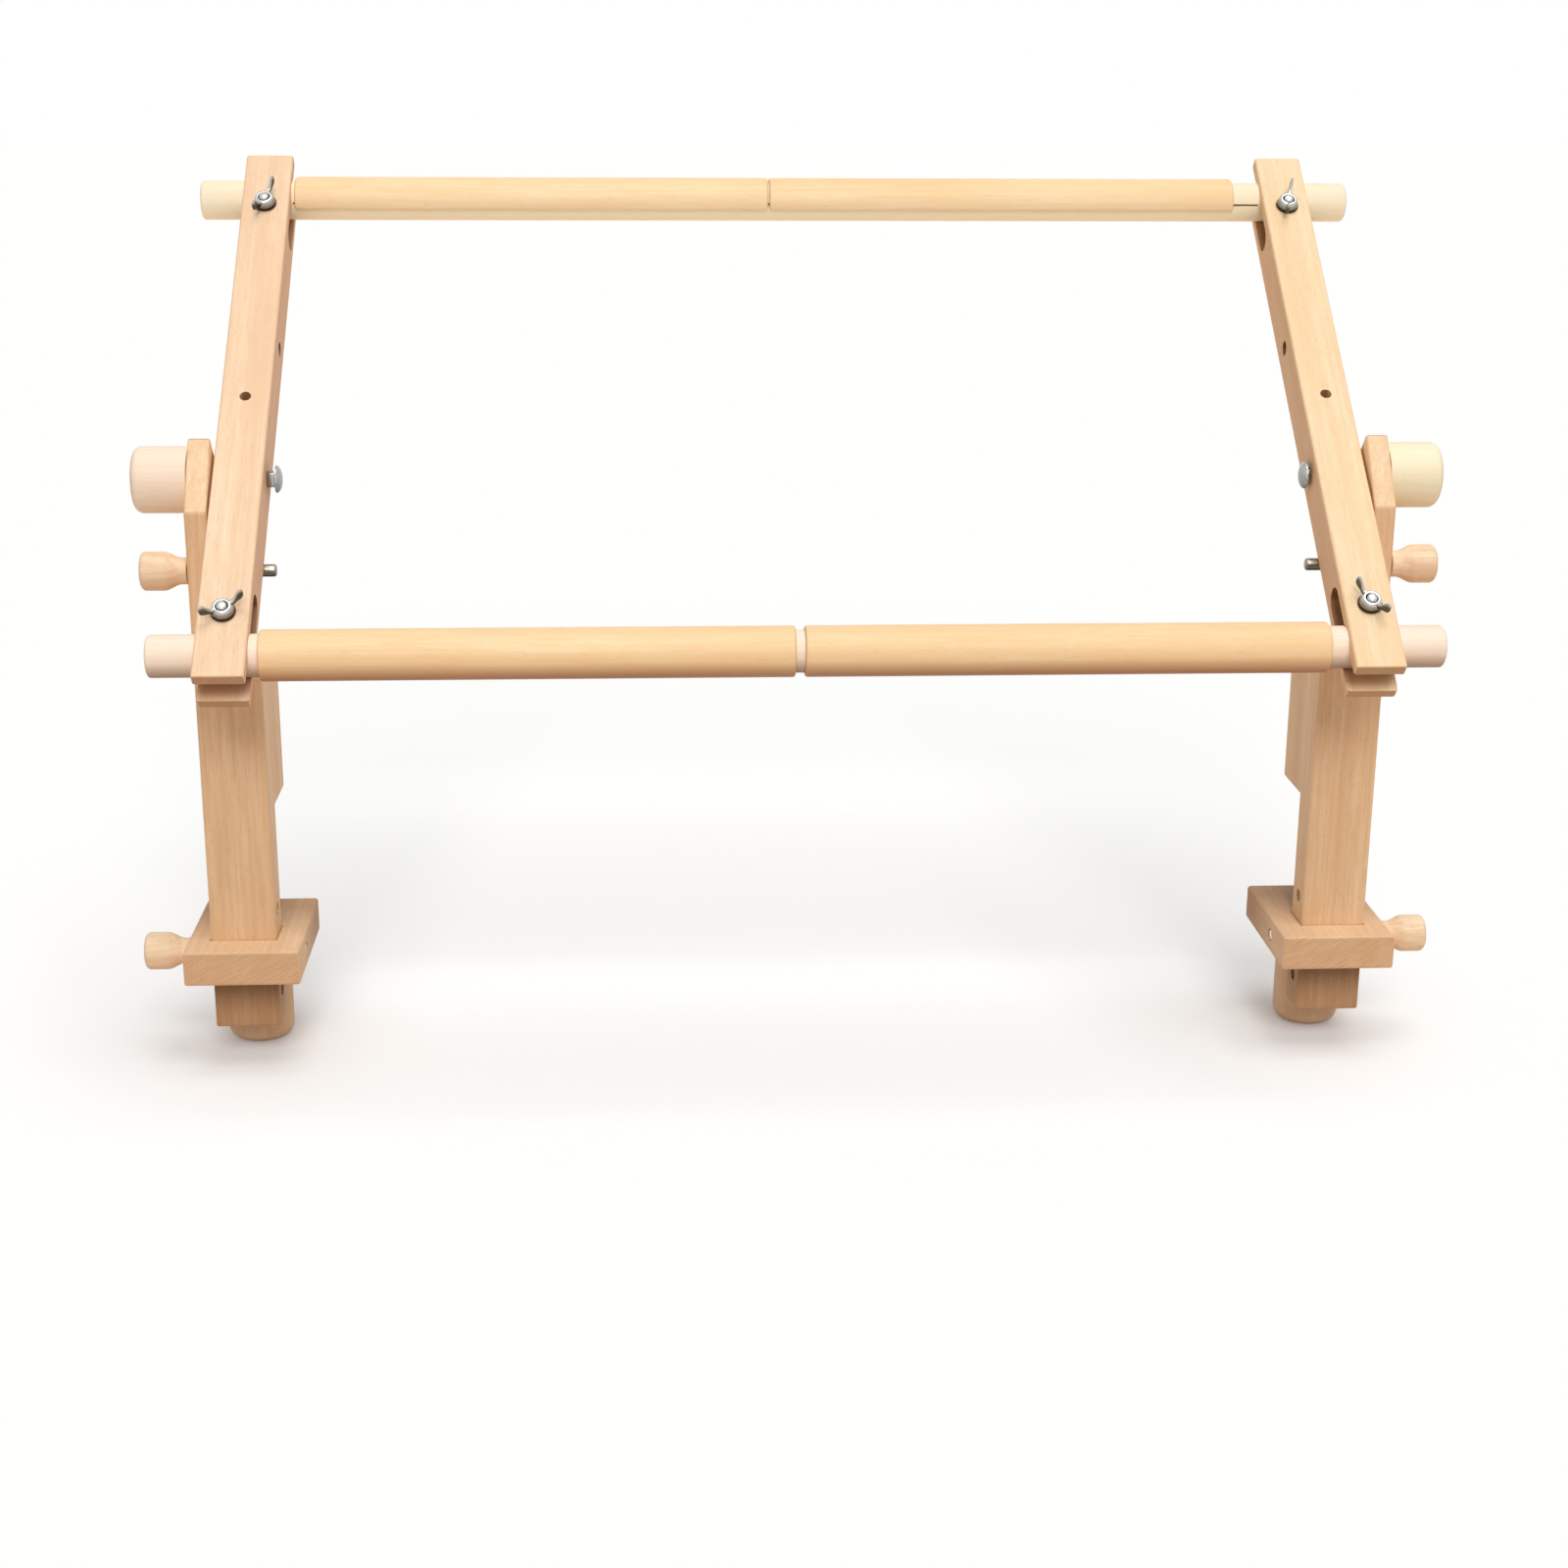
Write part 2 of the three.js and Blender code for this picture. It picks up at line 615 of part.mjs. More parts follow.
function addRoller(label, s, slitAngle, openingAngle, gap, shift) {
  tilted.add(mesh(`${label}_rod`, rod(slitAngle), rodWood, [0, s, 0]));
  for (const [side, name] of [[-1, "left"], [1, "right"]]) {
    const x = shift + (side * (gap + clipLength)) / 2;
    tilted.add(mesh(`${label}_${name}_clip`, clip(openingAngle), clipWood, [x, s, 0]));
  }
}

for (const [side, label, neckLength] of [[-1, "left", leftTiltNeck], [1, "right", rightTiltNeck]]) {
  frame.add(mesh(`${label}_post`, post(side), postWood, [side * postX, 0, 0]));
  addRail(side, label);
  addTiltClamp(side, label, neckLength);
  addStopPeg(side, label);
  addJaw(side, label);
  addClampScrew(side, label);
}
addRoller("front", frontRodS, frontSlitAngle, frontOpeningAngle, frontClipGap, frontClipShift);
addRoller("back", backRodS, backSlitAngle, backOpeningAngle, backClipGap, backClipShift);

export default frame;
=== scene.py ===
"""Embroidery scroll frame with table clamps: finished pieces, materials, camera and light.

Metres. X runs along the rollers, Y away from the stitcher and Z up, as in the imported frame.
"""

import json
from contextlib import contextmanager
from math import atan2, cos, pi, radians, sin

import bpy
from bpy.props import FloatProperty, FloatVectorProperty, PointerProperty
from bpy.types import Operator, Panel, PropertyGroup
from mathutils import Matrix, Vector


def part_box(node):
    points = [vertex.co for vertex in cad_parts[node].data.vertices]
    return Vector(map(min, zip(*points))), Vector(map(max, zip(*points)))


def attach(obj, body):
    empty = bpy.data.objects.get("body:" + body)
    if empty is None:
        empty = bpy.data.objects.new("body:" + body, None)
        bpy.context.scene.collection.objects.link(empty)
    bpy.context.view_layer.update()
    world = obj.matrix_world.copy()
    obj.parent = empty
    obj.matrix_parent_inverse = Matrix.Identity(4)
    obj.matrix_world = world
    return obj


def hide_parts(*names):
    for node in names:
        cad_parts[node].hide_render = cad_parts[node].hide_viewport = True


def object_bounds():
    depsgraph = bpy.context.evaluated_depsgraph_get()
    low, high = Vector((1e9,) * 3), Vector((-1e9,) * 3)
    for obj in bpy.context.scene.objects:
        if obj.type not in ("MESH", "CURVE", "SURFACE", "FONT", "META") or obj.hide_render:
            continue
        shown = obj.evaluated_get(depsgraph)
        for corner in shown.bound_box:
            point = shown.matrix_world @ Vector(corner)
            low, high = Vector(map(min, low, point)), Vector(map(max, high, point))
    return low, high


bl_info = {
    "name": "Embroidery Scroll Frame",
    "version": (1, 0, 0),
    "blender": (4, 5, 0),
    "location": "View3D > Sidebar > Embroidery",
    "description": "Models and finishes a scroll frame that clamps to the edge of a table",
    "category": "Add Mesh",
}

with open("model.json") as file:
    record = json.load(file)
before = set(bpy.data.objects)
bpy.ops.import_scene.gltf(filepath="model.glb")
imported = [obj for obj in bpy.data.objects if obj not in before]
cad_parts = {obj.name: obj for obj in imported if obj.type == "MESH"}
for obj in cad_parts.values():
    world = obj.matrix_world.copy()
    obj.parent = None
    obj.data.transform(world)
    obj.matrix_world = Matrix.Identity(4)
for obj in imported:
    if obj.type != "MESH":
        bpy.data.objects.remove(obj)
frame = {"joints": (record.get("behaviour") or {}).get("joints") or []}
cad_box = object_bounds()

MM = 0.001
X, Z = 0, 2

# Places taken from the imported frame
JOINTS = {joint["name"]: joint for joint in frame["joints"]}
PIVOT = Vector((0, *JOINTS["frame_tilt"]["pos_m"][1:]))
NUT_AXIS = JOINTS["left_front_nut_spin"]["axis"]
TILT = atan2(-NUT_AXIS[1], NUT_AXIS[2])
ALONG_RAIL = (0, cos(TILT), sin(TILT))
# Takes a point drawn on a level rail (across, along, above its middle) to its place.
RAIL = Matrix.Translation(PIVOT) @ Matrix.Rotation(TILT, 4, "X")
SIDES = ((-1, "left"), (1, "right"))
ALONG_X = Matrix.Rotation(pi / 2, 4, "Y")
ALONG_MINUS_X = Matrix.Rotation(-pi / 2, 4, "Y")
UPSIDE_DOWN = Matrix.Rotation(pi, 4, "X")

# Fits, and the radii of the holes
SEAT_GAP = 0.3 * MM
RUNNING_GAP = 0.25 * MM
CLAMP_BOLT_HOLE = 2.3 * MM
TILT_BOLT_HOLE = 2.8 * MM
PIN_HOLE = 2.55 * MM
CLAMP_SCREW_HOLE = 3.3 * MM
PIN_HOLE_PITCH = 16 * MM

# How far a cutter runs past the wood, and a length that passes through any piece
OVERRUN = 5 * MM
THROUGH = 0.1


def middle(node):
    low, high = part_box(node)
    return (low + high) / 2


def extent(node):
    low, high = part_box(node)
    return high - low


def inner_face(node, side):
    """Where along X a node's face towards the middle of the frame lies."""
    low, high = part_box(node)
    return low.x if side > 0 else high.x


def paint(red, green, blue):
    """Colour as a paint chart gives it, 0 to 255, for a shader."""
    share = (value / 255 for value in (red, green, blue))
    return tuple(s / 12.92 if s <= 0.04045 else ((s + 0.055) / 1.055) ** 2.4 for s in share)


def length(name, description, default):
    return FloatProperty(
        name=name, description=description, default=default, min=0, precision=5, unit="LENGTH"
    )


def colour(name, description, default):
    return FloatVectorProperty(
        name=name, description=description, default=default, size=3, min=0, max=1, subtype="COLOR"
    )


class EmbroideryFrameSizes(PropertyGroup):
    """Sizes of the frame that the pieces are modelled to."""

    rail_length: length("Rail length", "Side rail, end to end", 0.25)
    rail_width: length("Rail width", "Side rail across the top", 0.018)
    rail_depth: length("Rail depth", "Side rail from top to underside", 0.0187)
    rail_edge: length("Rail edge", "Sanded round on a rail's long edges", 0.0011)
    rod_inset: length("Roller inset", "Roller's middle from the rail's end", 0.0155)
    slot_height: length("Slot height", "Saw-cut fork at a rail's end", 0.01)
    slot_reach: length("Slot reach", "Slot's round end from the roller's middle", 0.025)
    bolt_inset: length("Bolt inset", "Clamp bolt from the roller's middle", 0.01155)
    hole_offset: length("Hole offset", "Each cross hole from the rail's middle", 0.0313)
    middle_hole: length("Middle hole", "Hole down through the rail's middle", 0.0042)
    roller_round: length("Roller end", "Round on a roller's end", 0.0012)
    slit_width: length("Slit width", "Saw slit through a roller", 0.0008)
    slit_margin: length("Slit margin", "Plain roller between slit and rail", 0.0006)
    clip_wall: length("Clip wall", "Wall of a cloth clip", 0.0012)
    clip_opening: FloatProperty(
        name="Clip opening", description="Open part of a clip", default=radians(110),
        unit="ROTATION",
    )
    plate: length("Plate", "Thin upper part of a post, beside the rail", 0.008)
    shaft_depth: length("Shaft depth", "Post's shaft, front to back", 0.0155)
    shoulder: length("Shoulder", "Top of the post's thick part above the table", 0.053)
    chamfer_rise: length("Chamfer rise", "Height of the facet on a post's top corner", 0.0215)
    chamfer_run: length("Chamfer run", "Depth of the facet on a post's top corner", 0.016)
    chamfer_drop: length("Chamfer drop", "Facet's start below the tilt axis", 0.008)
    crown_round: length("Crown", "Round of a post's top between its facets", 0.00445)
    post_edge: length("Post edge", "Sanded round on a post's edges", 0.0009)
    jaw_rear_round: length("Jaw corners", "Round of a jaw block's rear corners", 0.004)
    jaw_edge: length("Jaw edge", "Sanded round on a jaw block's edges", 0.001)


class EmbroideryFrameColours(PropertyGroup):
    """Colours of the woods, each a pale and a deep one, and of the metals and the floor."""

    left_rail_pale: colour("Left rail, pale", "Wood between the rings", paint(254, 225, 191))
    left_rail_deep: colour("Left rail, deep", "Rings in the wood", paint(240, 199, 159))
    right_rail_pale: colour("Right rail, pale", "Wood between the rings", paint(255, 231, 191))
    right_rail_deep: colour("Right rail, deep", "Rings in the wood", paint(246, 208, 162))
    post_pale: colour("Post, pale", "Wood between the rings", paint(242, 211, 171))
    post_deep: colour("Post, deep", "Rings in the wood", paint(224, 181, 136))
    jaw_pale: colour("Jaw, pale", "Wood between the rings", paint(252, 217, 175))
    jaw_deep: colour("Jaw, deep", "Rings in the wood", paint(236, 190, 146))
    front_roller_pale: colour("Front roller, pale", "Cream front dowel", paint(255, 240, 220))
    front_roller_deep: colour("Front roller, deep", "Streaks in it", paint(250, 222, 194))
    back_roller_pale: colour("Back roller, pale", "Cream back dowel", paint(255, 243, 214))
    back_roller_deep: colour("Back roller, deep", "Streaks in it", paint(252, 229, 192))
    clip_pale: colour("Clip, pale", "Golden wood of the clips", paint(255, 226, 179))
    clip_deep: colour("Clip, deep", "Streaks in the clips", paint(250, 204, 148))
    left_knob_pale: colour("Left knob, pale", "Left tilt knob", paint(255, 239, 218))
    left_knob_deep: colour("Left knob, deep", "Streaks in it", paint(250, 222, 192))
    right_knob_pale: colour("Right knob, pale", "Right tilt knob", paint(255, 248, 216))
    right_knob_deep: colour("Right knob, deep", "Streaks in it", paint(252, 231, 190))
    clamp_knob_pale: colour("Clamp knob, pale", "Clamp knobs", paint(246, 216, 180))
    clamp_knob_deep: colour("Clamp knob, deep", "Streaks in them", paint(232, 194, 152))
    small_knob_pale: colour("Small knob, pale", "Small knobs", paint(255, 234, 204))
    small_knob_deep: colour("Small knob, deep", "Streaks in them", paint(236, 196, 152))
    zinc: colour("Zinc", "Zinc plating on bolts and nuts", paint(198, 197, 193))
    bolt: colour("Bolt", "Plating on the tilt bolts", paint(184, 184, 181))
    steel: colour("Steel", "Bright steel of the lock bolts", paint(224, 221, 214))
    peg: colour("Peg steel", "Steel of the stop pegs", paint(158, 151, 138))
    # The washers' very dark colour is painted shade and dark reflection, not only the steel's own
    # tone.
    washer: colour("Washer", "Dull steel of the washers", paint(92, 79, 66))
    floor: colour("Floor", "Floor and backdrop", paint(250, 250, 249))
    floor_bounce: colour("Floor's glow", "What the floor throws back", paint(222, 198, 182))


def sizes():
    return bpy.context.scene.embroidery_frame_sizes


def colours():
    return bpy.context.scene.embroidery_frame_colours


# Workshop


def only(obj=None):
    """Deselects everything, then selects obj and makes it active."""
    bpy.ops.object.select_all(action="DESELECT")
    if obj is not None:
        obj.select_set(True)
        bpy.context.view_layer.objects.active = obj


@contextmanager
def editing(obj, mode="VERT"):
    only(obj)
    bpy.ops.object.mode_set(mode="EDIT")
    bpy.ops.mesh.select_mode(type=mode)
    yield
    bpy.ops.object.mode_set(mode="OBJECT")


def pick(obj, items, wanted):
    """Leaves just those vertices, edges or faces of obj selected for which wanted is true."""
    for group in (obj.data.vertices, obj.data.edges, obj.data.polygons):
        for item in group:
            item.select = False
    for item in items:
        item.select = wanted(item)


def pick_edges(obj, axis, y):
    """Selects the edges of obj that run along an axis at one depth."""
    def wanted(edge):
        start, end = (obj.data.vertices[number].co for number in edge.vertices)
        at_depth = all(abs(point.y - y) < MM / 10 for point in (start, end))
        return at_depth and abs(start[axis] - end[axis]) > MM

    pick(obj, obj.data.edges, wanted)


def added(name):
    obj = bpy.context.active_object
    obj.name = obj.data.name = name
    return obj


def at(point):
    """Move that takes what is drawn at zero to a point."""
    return Matrix.Translation(point)


def lift(height):
    return at((0, 0, height))


def lay(obj, place=Matrix.Identity(4)):
    """Moves obj by a matrix and puts the place into its mesh."""
    only(obj)
    obj.matrix_world = place @ obj.matrix_world
    bpy.ops.object.transform_apply(location=True, rotation=True, scale=True)
    return obj


def block(name, low, high):
    low, high = Vector(low), Vector(high)
    only()
    bpy.ops.mesh.primitive_cube_add(size=1, location=(low + high) / 2, scale=high - low)
    return lay(added(name))


def apply_modifier(obj, kind, **settings):
    only(obj)
    bpy.ops.object.modifier_add(type=kind)
    modifier = obj.modifiers[-1]
    for key, value in settings.items():
        setattr(modifier, key, value)
    bpy.ops.object.modifier_apply(modifier=modifier.name)
    return obj


def cut(obj, *cutters):
    for cutter in cutters:
        apply_modifier(obj, "BOOLEAN", operation="DIFFERENCE", solver="EXACT", object=cutter)
        bpy.data.objects.remove(cutter)
    return obj


def bore(obj, axis, radius, reach, centre, sides=48):
    """Drills a round hole along an axis, half of its reach to either side of a point."""
    turn = {X: (0, pi / 2, 0), Z: (0, 0, 0)}[axis]
    only()
    bpy.ops.mesh.primitive_cylinder_add(
        vertices=sides, radius=radius, depth=reach, location=centre, rotation=turn
    )
    return cut(obj, lay(added("drill")))


def ease(obj, width, segments=3, angle=30):
    """Sands the edges that are sharper than an angle."""
    return apply_modifier(
        obj, "BEVEL", width=width, segments=segments, limit_method="ANGLE",
        angle_limit=radians(angle), harden_normals=False,
    )


def smooth(obj, angle=35):
    only(obj)
    bpy.ops.object.shade_smooth_by_angle(angle=radians(angle))
    return obj


def sawn(obj):
    """Shades a sawn piece: flat faces stay flat beside their eased edges."""
    return apply_modifier(
        smooth(obj), "WEIGHTED_NORMAL", mode="FACE_AREA", weight=100, keep_sharp=True
    )


def joined(name, *pieces):
    only(pieces[0])
    for piece in pieces:
        piece.select_set(True)
    bpy.ops.object.join()
    return added(name)


def copy_of(obj, name):
    only(obj)
    bpy.ops.object.duplicate(linked=False)
    return added(name)


def arc(radius_to, height, radius, start, end, steps=8):
    """Points of a round edge on a turned piece, from one angle to another in degrees."""
    turn = [radians(start + (end - start) * step / steps) for step in range(steps + 1)]
    return [(radius_to + radius * cos(a), height + radius * sin(a)) for a in turn]


def rounded_ends(radius, half, edge, steps=8):
    """Outer points of a bar about Z with a round at each end, from its lower to its upper end."""
    top = arc(radius - edge, half - edge, edge, 0, 90, steps)
    return [*((r, -z) for r, z in reversed(top)), *top]


def in_mm(*points):
    return [(radius * MM, height * MM) for radius, height in points]


def drawn(name, points):
    """Edges through points (radius, height), drawn from one point by extruding it."""
    only()
    bpy.ops.mesh.primitive_plane_add(size=MM)
    obj = added(name)
    with editing(obj):
        bpy.ops.mesh.merge(type="CENTER")
        bpy.ops.transform.translate(value=(points[0][0], 0, points[0][1]))
        for (radius, height), (next_radius, next_height) in zip(points, points[1:]):
            step = (next_radius - radius, 0, next_height - height)
            bpy.ops.mesh.extrude_vertices_move(TRANSFORM_OT_translate={"value": step})
    return obj


def spun(obj, steps, angle, filled=False):
    """Turns a drawn outline about Z, closes its seam and points its faces outwards."""
    with editing(obj):
        bpy.ops.mesh.select_all(action="SELECT")
        if filled:
            bpy.ops.mesh.edge_face_add()
        bpy.ops.mesh.spin(steps=steps, angle=angle, center=(0, 0, 0), axis=(0, 0, 1))
        bpy.ops.mesh.select_all(action="SELECT")
        bpy.ops.mesh.remove_doubles(threshold=MM / 1000)
        bpy.ops.mesh.normals_make_consistent(inside=False)
    return obj


def turned(name, points, steps=64):
    """Turned piece about Z. The points start and end on the axis."""
    return smooth(spun(drawn(name, points), steps, 2 * pi))


def ring(name, points, steps=48):
    """Turned ring about Z. The points go once round its section."""
    return turned(name, [*points, points[0]], steps)


def finish_piece(obj, material, body, slot, *nodes):
    obj.data.materials.clear()
    obj.data.materials.append(material)
    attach(obj, body)
    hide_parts(*nodes)


# Materials


def wire(tree, value, socket):
    if isinstance(value, bpy.types.NodeSocket):
        tree.links.new(value, socket)
    else:
        socket.default_value = value


def add(tree, kind, inputs=None, **settings):
    made = tree.nodes.new(kind)
    for key, value in settings.items():
        setattr(made, key, value)
    for key, value in (inputs or {}).items():
        wire(tree, value, made.inputs[key])
    return made


def blank_material(name):
    material = bpy.data.materials.get(name)
    if material:
        return material, None, None
    material = bpy.data.materials.new(name)
    material.use_nodes = True
    tree = material.node_tree
    return material, tree, tree.nodes["Principled BSDF"]


def calculated(tree, operation, *values):
    made = add(tree, "ShaderNodeMath", dict(enumerate(values)), operation=operation)
    return made.outputs["Value"]


def dot(tree, first, second):
    made = add(tree, "ShaderNodeVectorMath", {0: first, 1: second}, operation="DOT_PRODUCT")
    return made.outputs["Value"]


def mapped(tree, place, turn, size):
    """Places measured along the axes of a turned frame, in units of the given size."""
    inputs = {"Vector": place, "Rotation": turn, "Scale": size}
    return add(tree, "ShaderNodeMapping", inputs, vector_type="TEXTURE").outputs["Vector"]


def streaks(tree, place, turn, size, detail=2.0, roughness=0.55, distortion=0.0):
    """Noise whose marks have the given size along each axis of a turned frame."""
    return add(tree, "ShaderNodeTexNoise", {
        "Vector": mapped(tree, place, turn, size), "Scale": 1.0, "Detail": detail,
        "Roughness": roughness, "Distortion": distortion,
    }).outputs["Fac"]


def year_rings(tree, place, turn, spacing, waviness):
    """Growth rings as parallel wavy layers across the first axis of a turned frame."""
    stretched = (spacing, spacing, spacing * 26)
    return add(tree, "ShaderNodeTexWave", {
        "Vector": mapped(tree, place, turn, stretched), "Scale": pi / 10,
        "Distortion": waviness, "Detail": 2.0, "Detail Scale": 0.9, "Detail Roughness": 0.6,
    }).outputs["Fac"]


def spread(tree, value, low, high, to_low=0.0, to_high=1.0):
    """Value stretched from one range to another and held at its ends."""
    return add(tree, "ShaderNodeMapRange", {
        "Value": value, "From Min": low, "From Max": high, "To Min": to_low, "To Max": to_high,
    }).outputs["Result"]


def mixed(tree, share, first, second, blend="MIX"):
    made = add(tree, "ShaderNodeMix", data_type="RGBA", blend_type=blend, clamp_factor=True)
    wire(tree, share, made.inputs[0])
    for value, socket in ((first, made.inputs[6]), (second, made.inputs[7])):
        if not isinstance(value, bpy.types.NodeSocket):
            value = (*value[:3], 1.0)
        wire(tree, value, socket)
    return made.outputs[2]


def towards(tree, normal, way, low, high):
    """How squarely a surface faces a direction, as a share."""
    return spread(tree, dot(tree, normal, way), low, high)


def facing(tree, normal, way, low, high):
    """How squarely a surface faces along a direction, either way, as a share."""
    return spread(tree, calculated(tree, "ABSOLUTE", dot(tree, normal, way)), low, high)


def marked(tree, tone, marks, contrast=1.0):
    """Tone with marks laid over it: noise, its start, where it is full, its share and colour."""
    for noise, low, high, share, shade in marks:
        tone = mixed(tree, spread(tree, noise, low, high, 0, share * contrast), tone, shade)
    return tone


# Marks in wood: their size across the rings, along them and along the fibre, and their noise
BROAD_STREAKS = ((0.009, 0.014, 0.09), 2, 0.5, 0.3)
FINE_STREAKS = ((0.0008, 0.0012, 0.04), 2, 0.6)
MOTTLE = ((0.0016, 0.0022, 0.009), 2, 0.55)
FLECKS = ((0.0005, 0.0006, 0.0034), 1, 0.5)
PORES = ((0.0005, 0.0005, 0.0005), 1, 0.5)
END_LAYERS = ((0.0006, 0.009, 0.009), 2, 0.6, 0.4)


def wood(name, stem, fibre, across, spacing=0.0026, contrast=1.0, rough=0.58, waviness=4.0,
         end_tint=(0.80, 0.76, 0.72), end_from=0.6, tints=()):
    """Sanded, unfinished wood in the two colours of a stem. The fibre runs along one direction,
    and the year rings are layers across another. A tint is a share of the surface, as a function
    makes it, and the colour that is multiplied in there."""
    material, tree, shader = blank_material(name)
    if tree is None:
        return material
    pale, deep = (getattr(colours(), f"{stem}_{depth}") for depth in ("pale", "deep"))
    fibre, across = Vector(fibre).normalized(), Vector(across).normalized()
    turn = Matrix((across, fibre.cross(across), fibre)).transposed().to_euler()
    coordinates = add(tree, "ShaderNodeTexCoord")
    place, normal = coordinates.outputs["Object"], coordinates.outputs["Normal"]
    rings = year_rings(tree, place, turn, spacing, waviness)
    broad, fine, mottle, flecks, pores, layers = (
        streaks(tree, place, turn, *marks)
        for marks in (BROAD_STREAKS, FINE_STREAKS, MOTTLE, FLECKS, PORES, END_LAYERS)
    )

    dark = tuple(value * 0.55 for value in deep)
    ground = marked(tree, pale, [(broad, 0.34, 0.68, 0.6, deep)], contrast)
    tone = marked(tree, ground, [
        (rings, 0.45, 1.0, 0.24, deep), (fine, 0.42, 0.72, 0.5, deep),
        (mottle, 0.45, 0.75, 0.45, deep), (flecks, 0.62, 0.72, 0.16, dark),
    ], contrast)
    end_tone = marked(tree, ground, [
        (rings, 0.35, 0.95, 0.25, deep), (layers, 0.4, 0.66, 0.8, deep),
        (pores, 0.5, 0.72, 0.2, dark),
    ])
    end_tone = mixed(tree, 1.0, end_tone, end_tint, "MULTIPLY")
    tone = mixed(tree, facing(tree, normal, fibre, end_from, 0.85), tone, end_tone)
    for share, tint in tints:
        tone = mixed(tree, share(tree, place, normal), tone, tint, "MULTIPLY")

    tree.links.new(tone, shader.inputs["Base Color"])
    dulled = spread(tree, fine, 0.3, 0.7, rough - 0.06, rough + 0.08)
    tree.links.new(dulled, shader.inputs["Roughness"])
    shader.inputs["Specular IOR Level"].default_value = 0.3
    relief = calculated(tree, "ADD", fine, flecks)
    bump = add(tree, "ShaderNodeBump", {"Strength": 0.25, "Distance": 0.00018, "Height": relief})
    tree.links.new(bump.outputs["Normal"], shader.inputs["Normal"])
    return material


def metal(name, tone, rough, lit_side, shade_factor, lit_from=-0.5, lit_to=0.3):
    """Plated steel with faint rubbing marks, and painted shade and dark reflection on the faces
    turned away from its lit side.
    """
    material, tree, shader = blank_material(name)
    if tree is None:
        return material
    coordinates = add(tree, "ShaderNodeTexCoord")
    place, normal = coordinates.outputs["Object"], coordinates.outputs["Normal"]
    clouds = streaks(tree, place, (0, 0, 0), (0.004, 0.004, 0.004), 3, 0.6)
    rubs = streaks(tree, place, (0.4, 0.2, 0.7), (0.0022, 0.0003, 0.0003), 2, 0.5)
    dull = tuple(value * 0.72 for value in tone)
    dark = tuple(value * shade_factor for value in tone)
    base = marked(tree, tone, [(clouds, 0.4, 0.72, 0.6, dull)])
    # Painted shade and reflection: faces turned from the lit side fade to the darker tone.
    base = mixed(tree, towards(tree, normal, lit_side, lit_from, lit_to), dark, base)
    tree.links.new(base, shader.inputs["Base Color"])
    tree.links.new(spread(tree, rubs, 0.3, 0.75, rough, rough + 0.16), shader.inputs["Roughness"])
    shader.inputs["Metallic"].default_value = 1.0
    bump = add(tree, "ShaderNodeBump", {"Strength": 0.12, "Distance": 0.00005, "Height": rubs})
    tree.links.new(bump.outputs["Normal"], shader.inputs["Normal"])
    return material


# Shares of a surface, for the tints of a wood


def flanks(tree, place, normal):
    return facing(tree, normal, (1, 0, 0), 0.5, 0.95)


def facets(tree, place, normal):
    return facing(tree, normal, (0, 0, 1), 0.4, 0.55)


def underside(start):
    """From where the surface begins to face down to where it is full, almost straight down."""
    return lambda tree, place, normal: towards(tree, normal, (0, 0, -1), start, 0.8)


def stretch(axis, start, end):
    """Rising along an axis from one place to another, and full past it."""
    def share(tree, place, normal):
        split = add(tree, "ShaderNodeSeparateXYZ", {0: place})
        return spread(tree, split.outputs[axis], start, end)

    return share


def saw_cut_shade(tree, place, normal):
    """Inside of a rail's two slots, fading out before the rail's ends: where painted shade goes."""
    s = sizes()
    half_slot, half_rail, fade = s.slot_height / 2, s.rail_length / 2, 9 * MM
    from_pivot = add(tree, "ShaderNodeVectorMath", {0: place, 1: PIVOT}, operation="SUBTRACT")
    from_pivot = from_pivot.outputs["Vector"]
    inside = facing(tree, from_pivot, NUT_AXIS, half_slot + 0.4 * MM, half_slot + 0.2 * MM)
    inside = calculated(tree, "MULTIPLY", inside, facing(tree, normal, (1, 0, 0), 0.8, 0.6))
    along = dot(tree, from_pivot, Vector(ALONG_RAIL).normalized())
    from_middle = calculated(tree, "ABSOLUTE", calculated(tree, "SUBTRACT", along, s.hole_offset))
    away_from_ends = spread(tree, from_middle, half_rail, half_rail - fade)
    return calculated(tree, "MULTIPLY", inside, away_from_ends)


def rail_wood(name):
    lean = (-0.64, -0.77 * sin(TILT), 0.77 * cos(TILT))
    return wood(
        f"rail_beech_{name}", f"{name}_rail", ALONG_RAIL, lean, spacing=0.0034, contrast=1.15,
        # End faces darker: partly the end grain's own tone, partly painted shade on faces turned
        # down.
        end_tint=(0.57, 0.48, 0.41),
        # Sides a little pinker: partly side-grain tone, partly painted shade. Painted shade inside
        # the slots.
        tints=((flanks, paint(255, 243, 238)), (saw_cut_shade, (0.5, 0.38, 0.31))),
    )


def post_wood():
    return wood(
        "post_beech", "post", (0, 0, 1), (-0.8, 0.6, 0), spacing=0.003, contrast=1.2,
        end_tint=(0.7, 0.7, 0.76), end_from=0.68,
        tints=(
            # Painted light: the post's sides lighter than its front.
            (flanks, (1.16, 1.22, 1.28)),
            # Painted shadow of the jaw block: darkest just under it, lighter further down, the foot
            # still darker than above.
            (stretch("Z", -0.058, -0.0605), (0.32, 0.28, 0.25)),
            (stretch("Z", -0.0645, -0.079), (1.9, 1.85, 1.8)),
            # Painted light: faces that point up, the facets and crown, lighter; the underside gets
            # it too.
            (facets, (1.16, 1.2, 1.26)),
        ),
    )


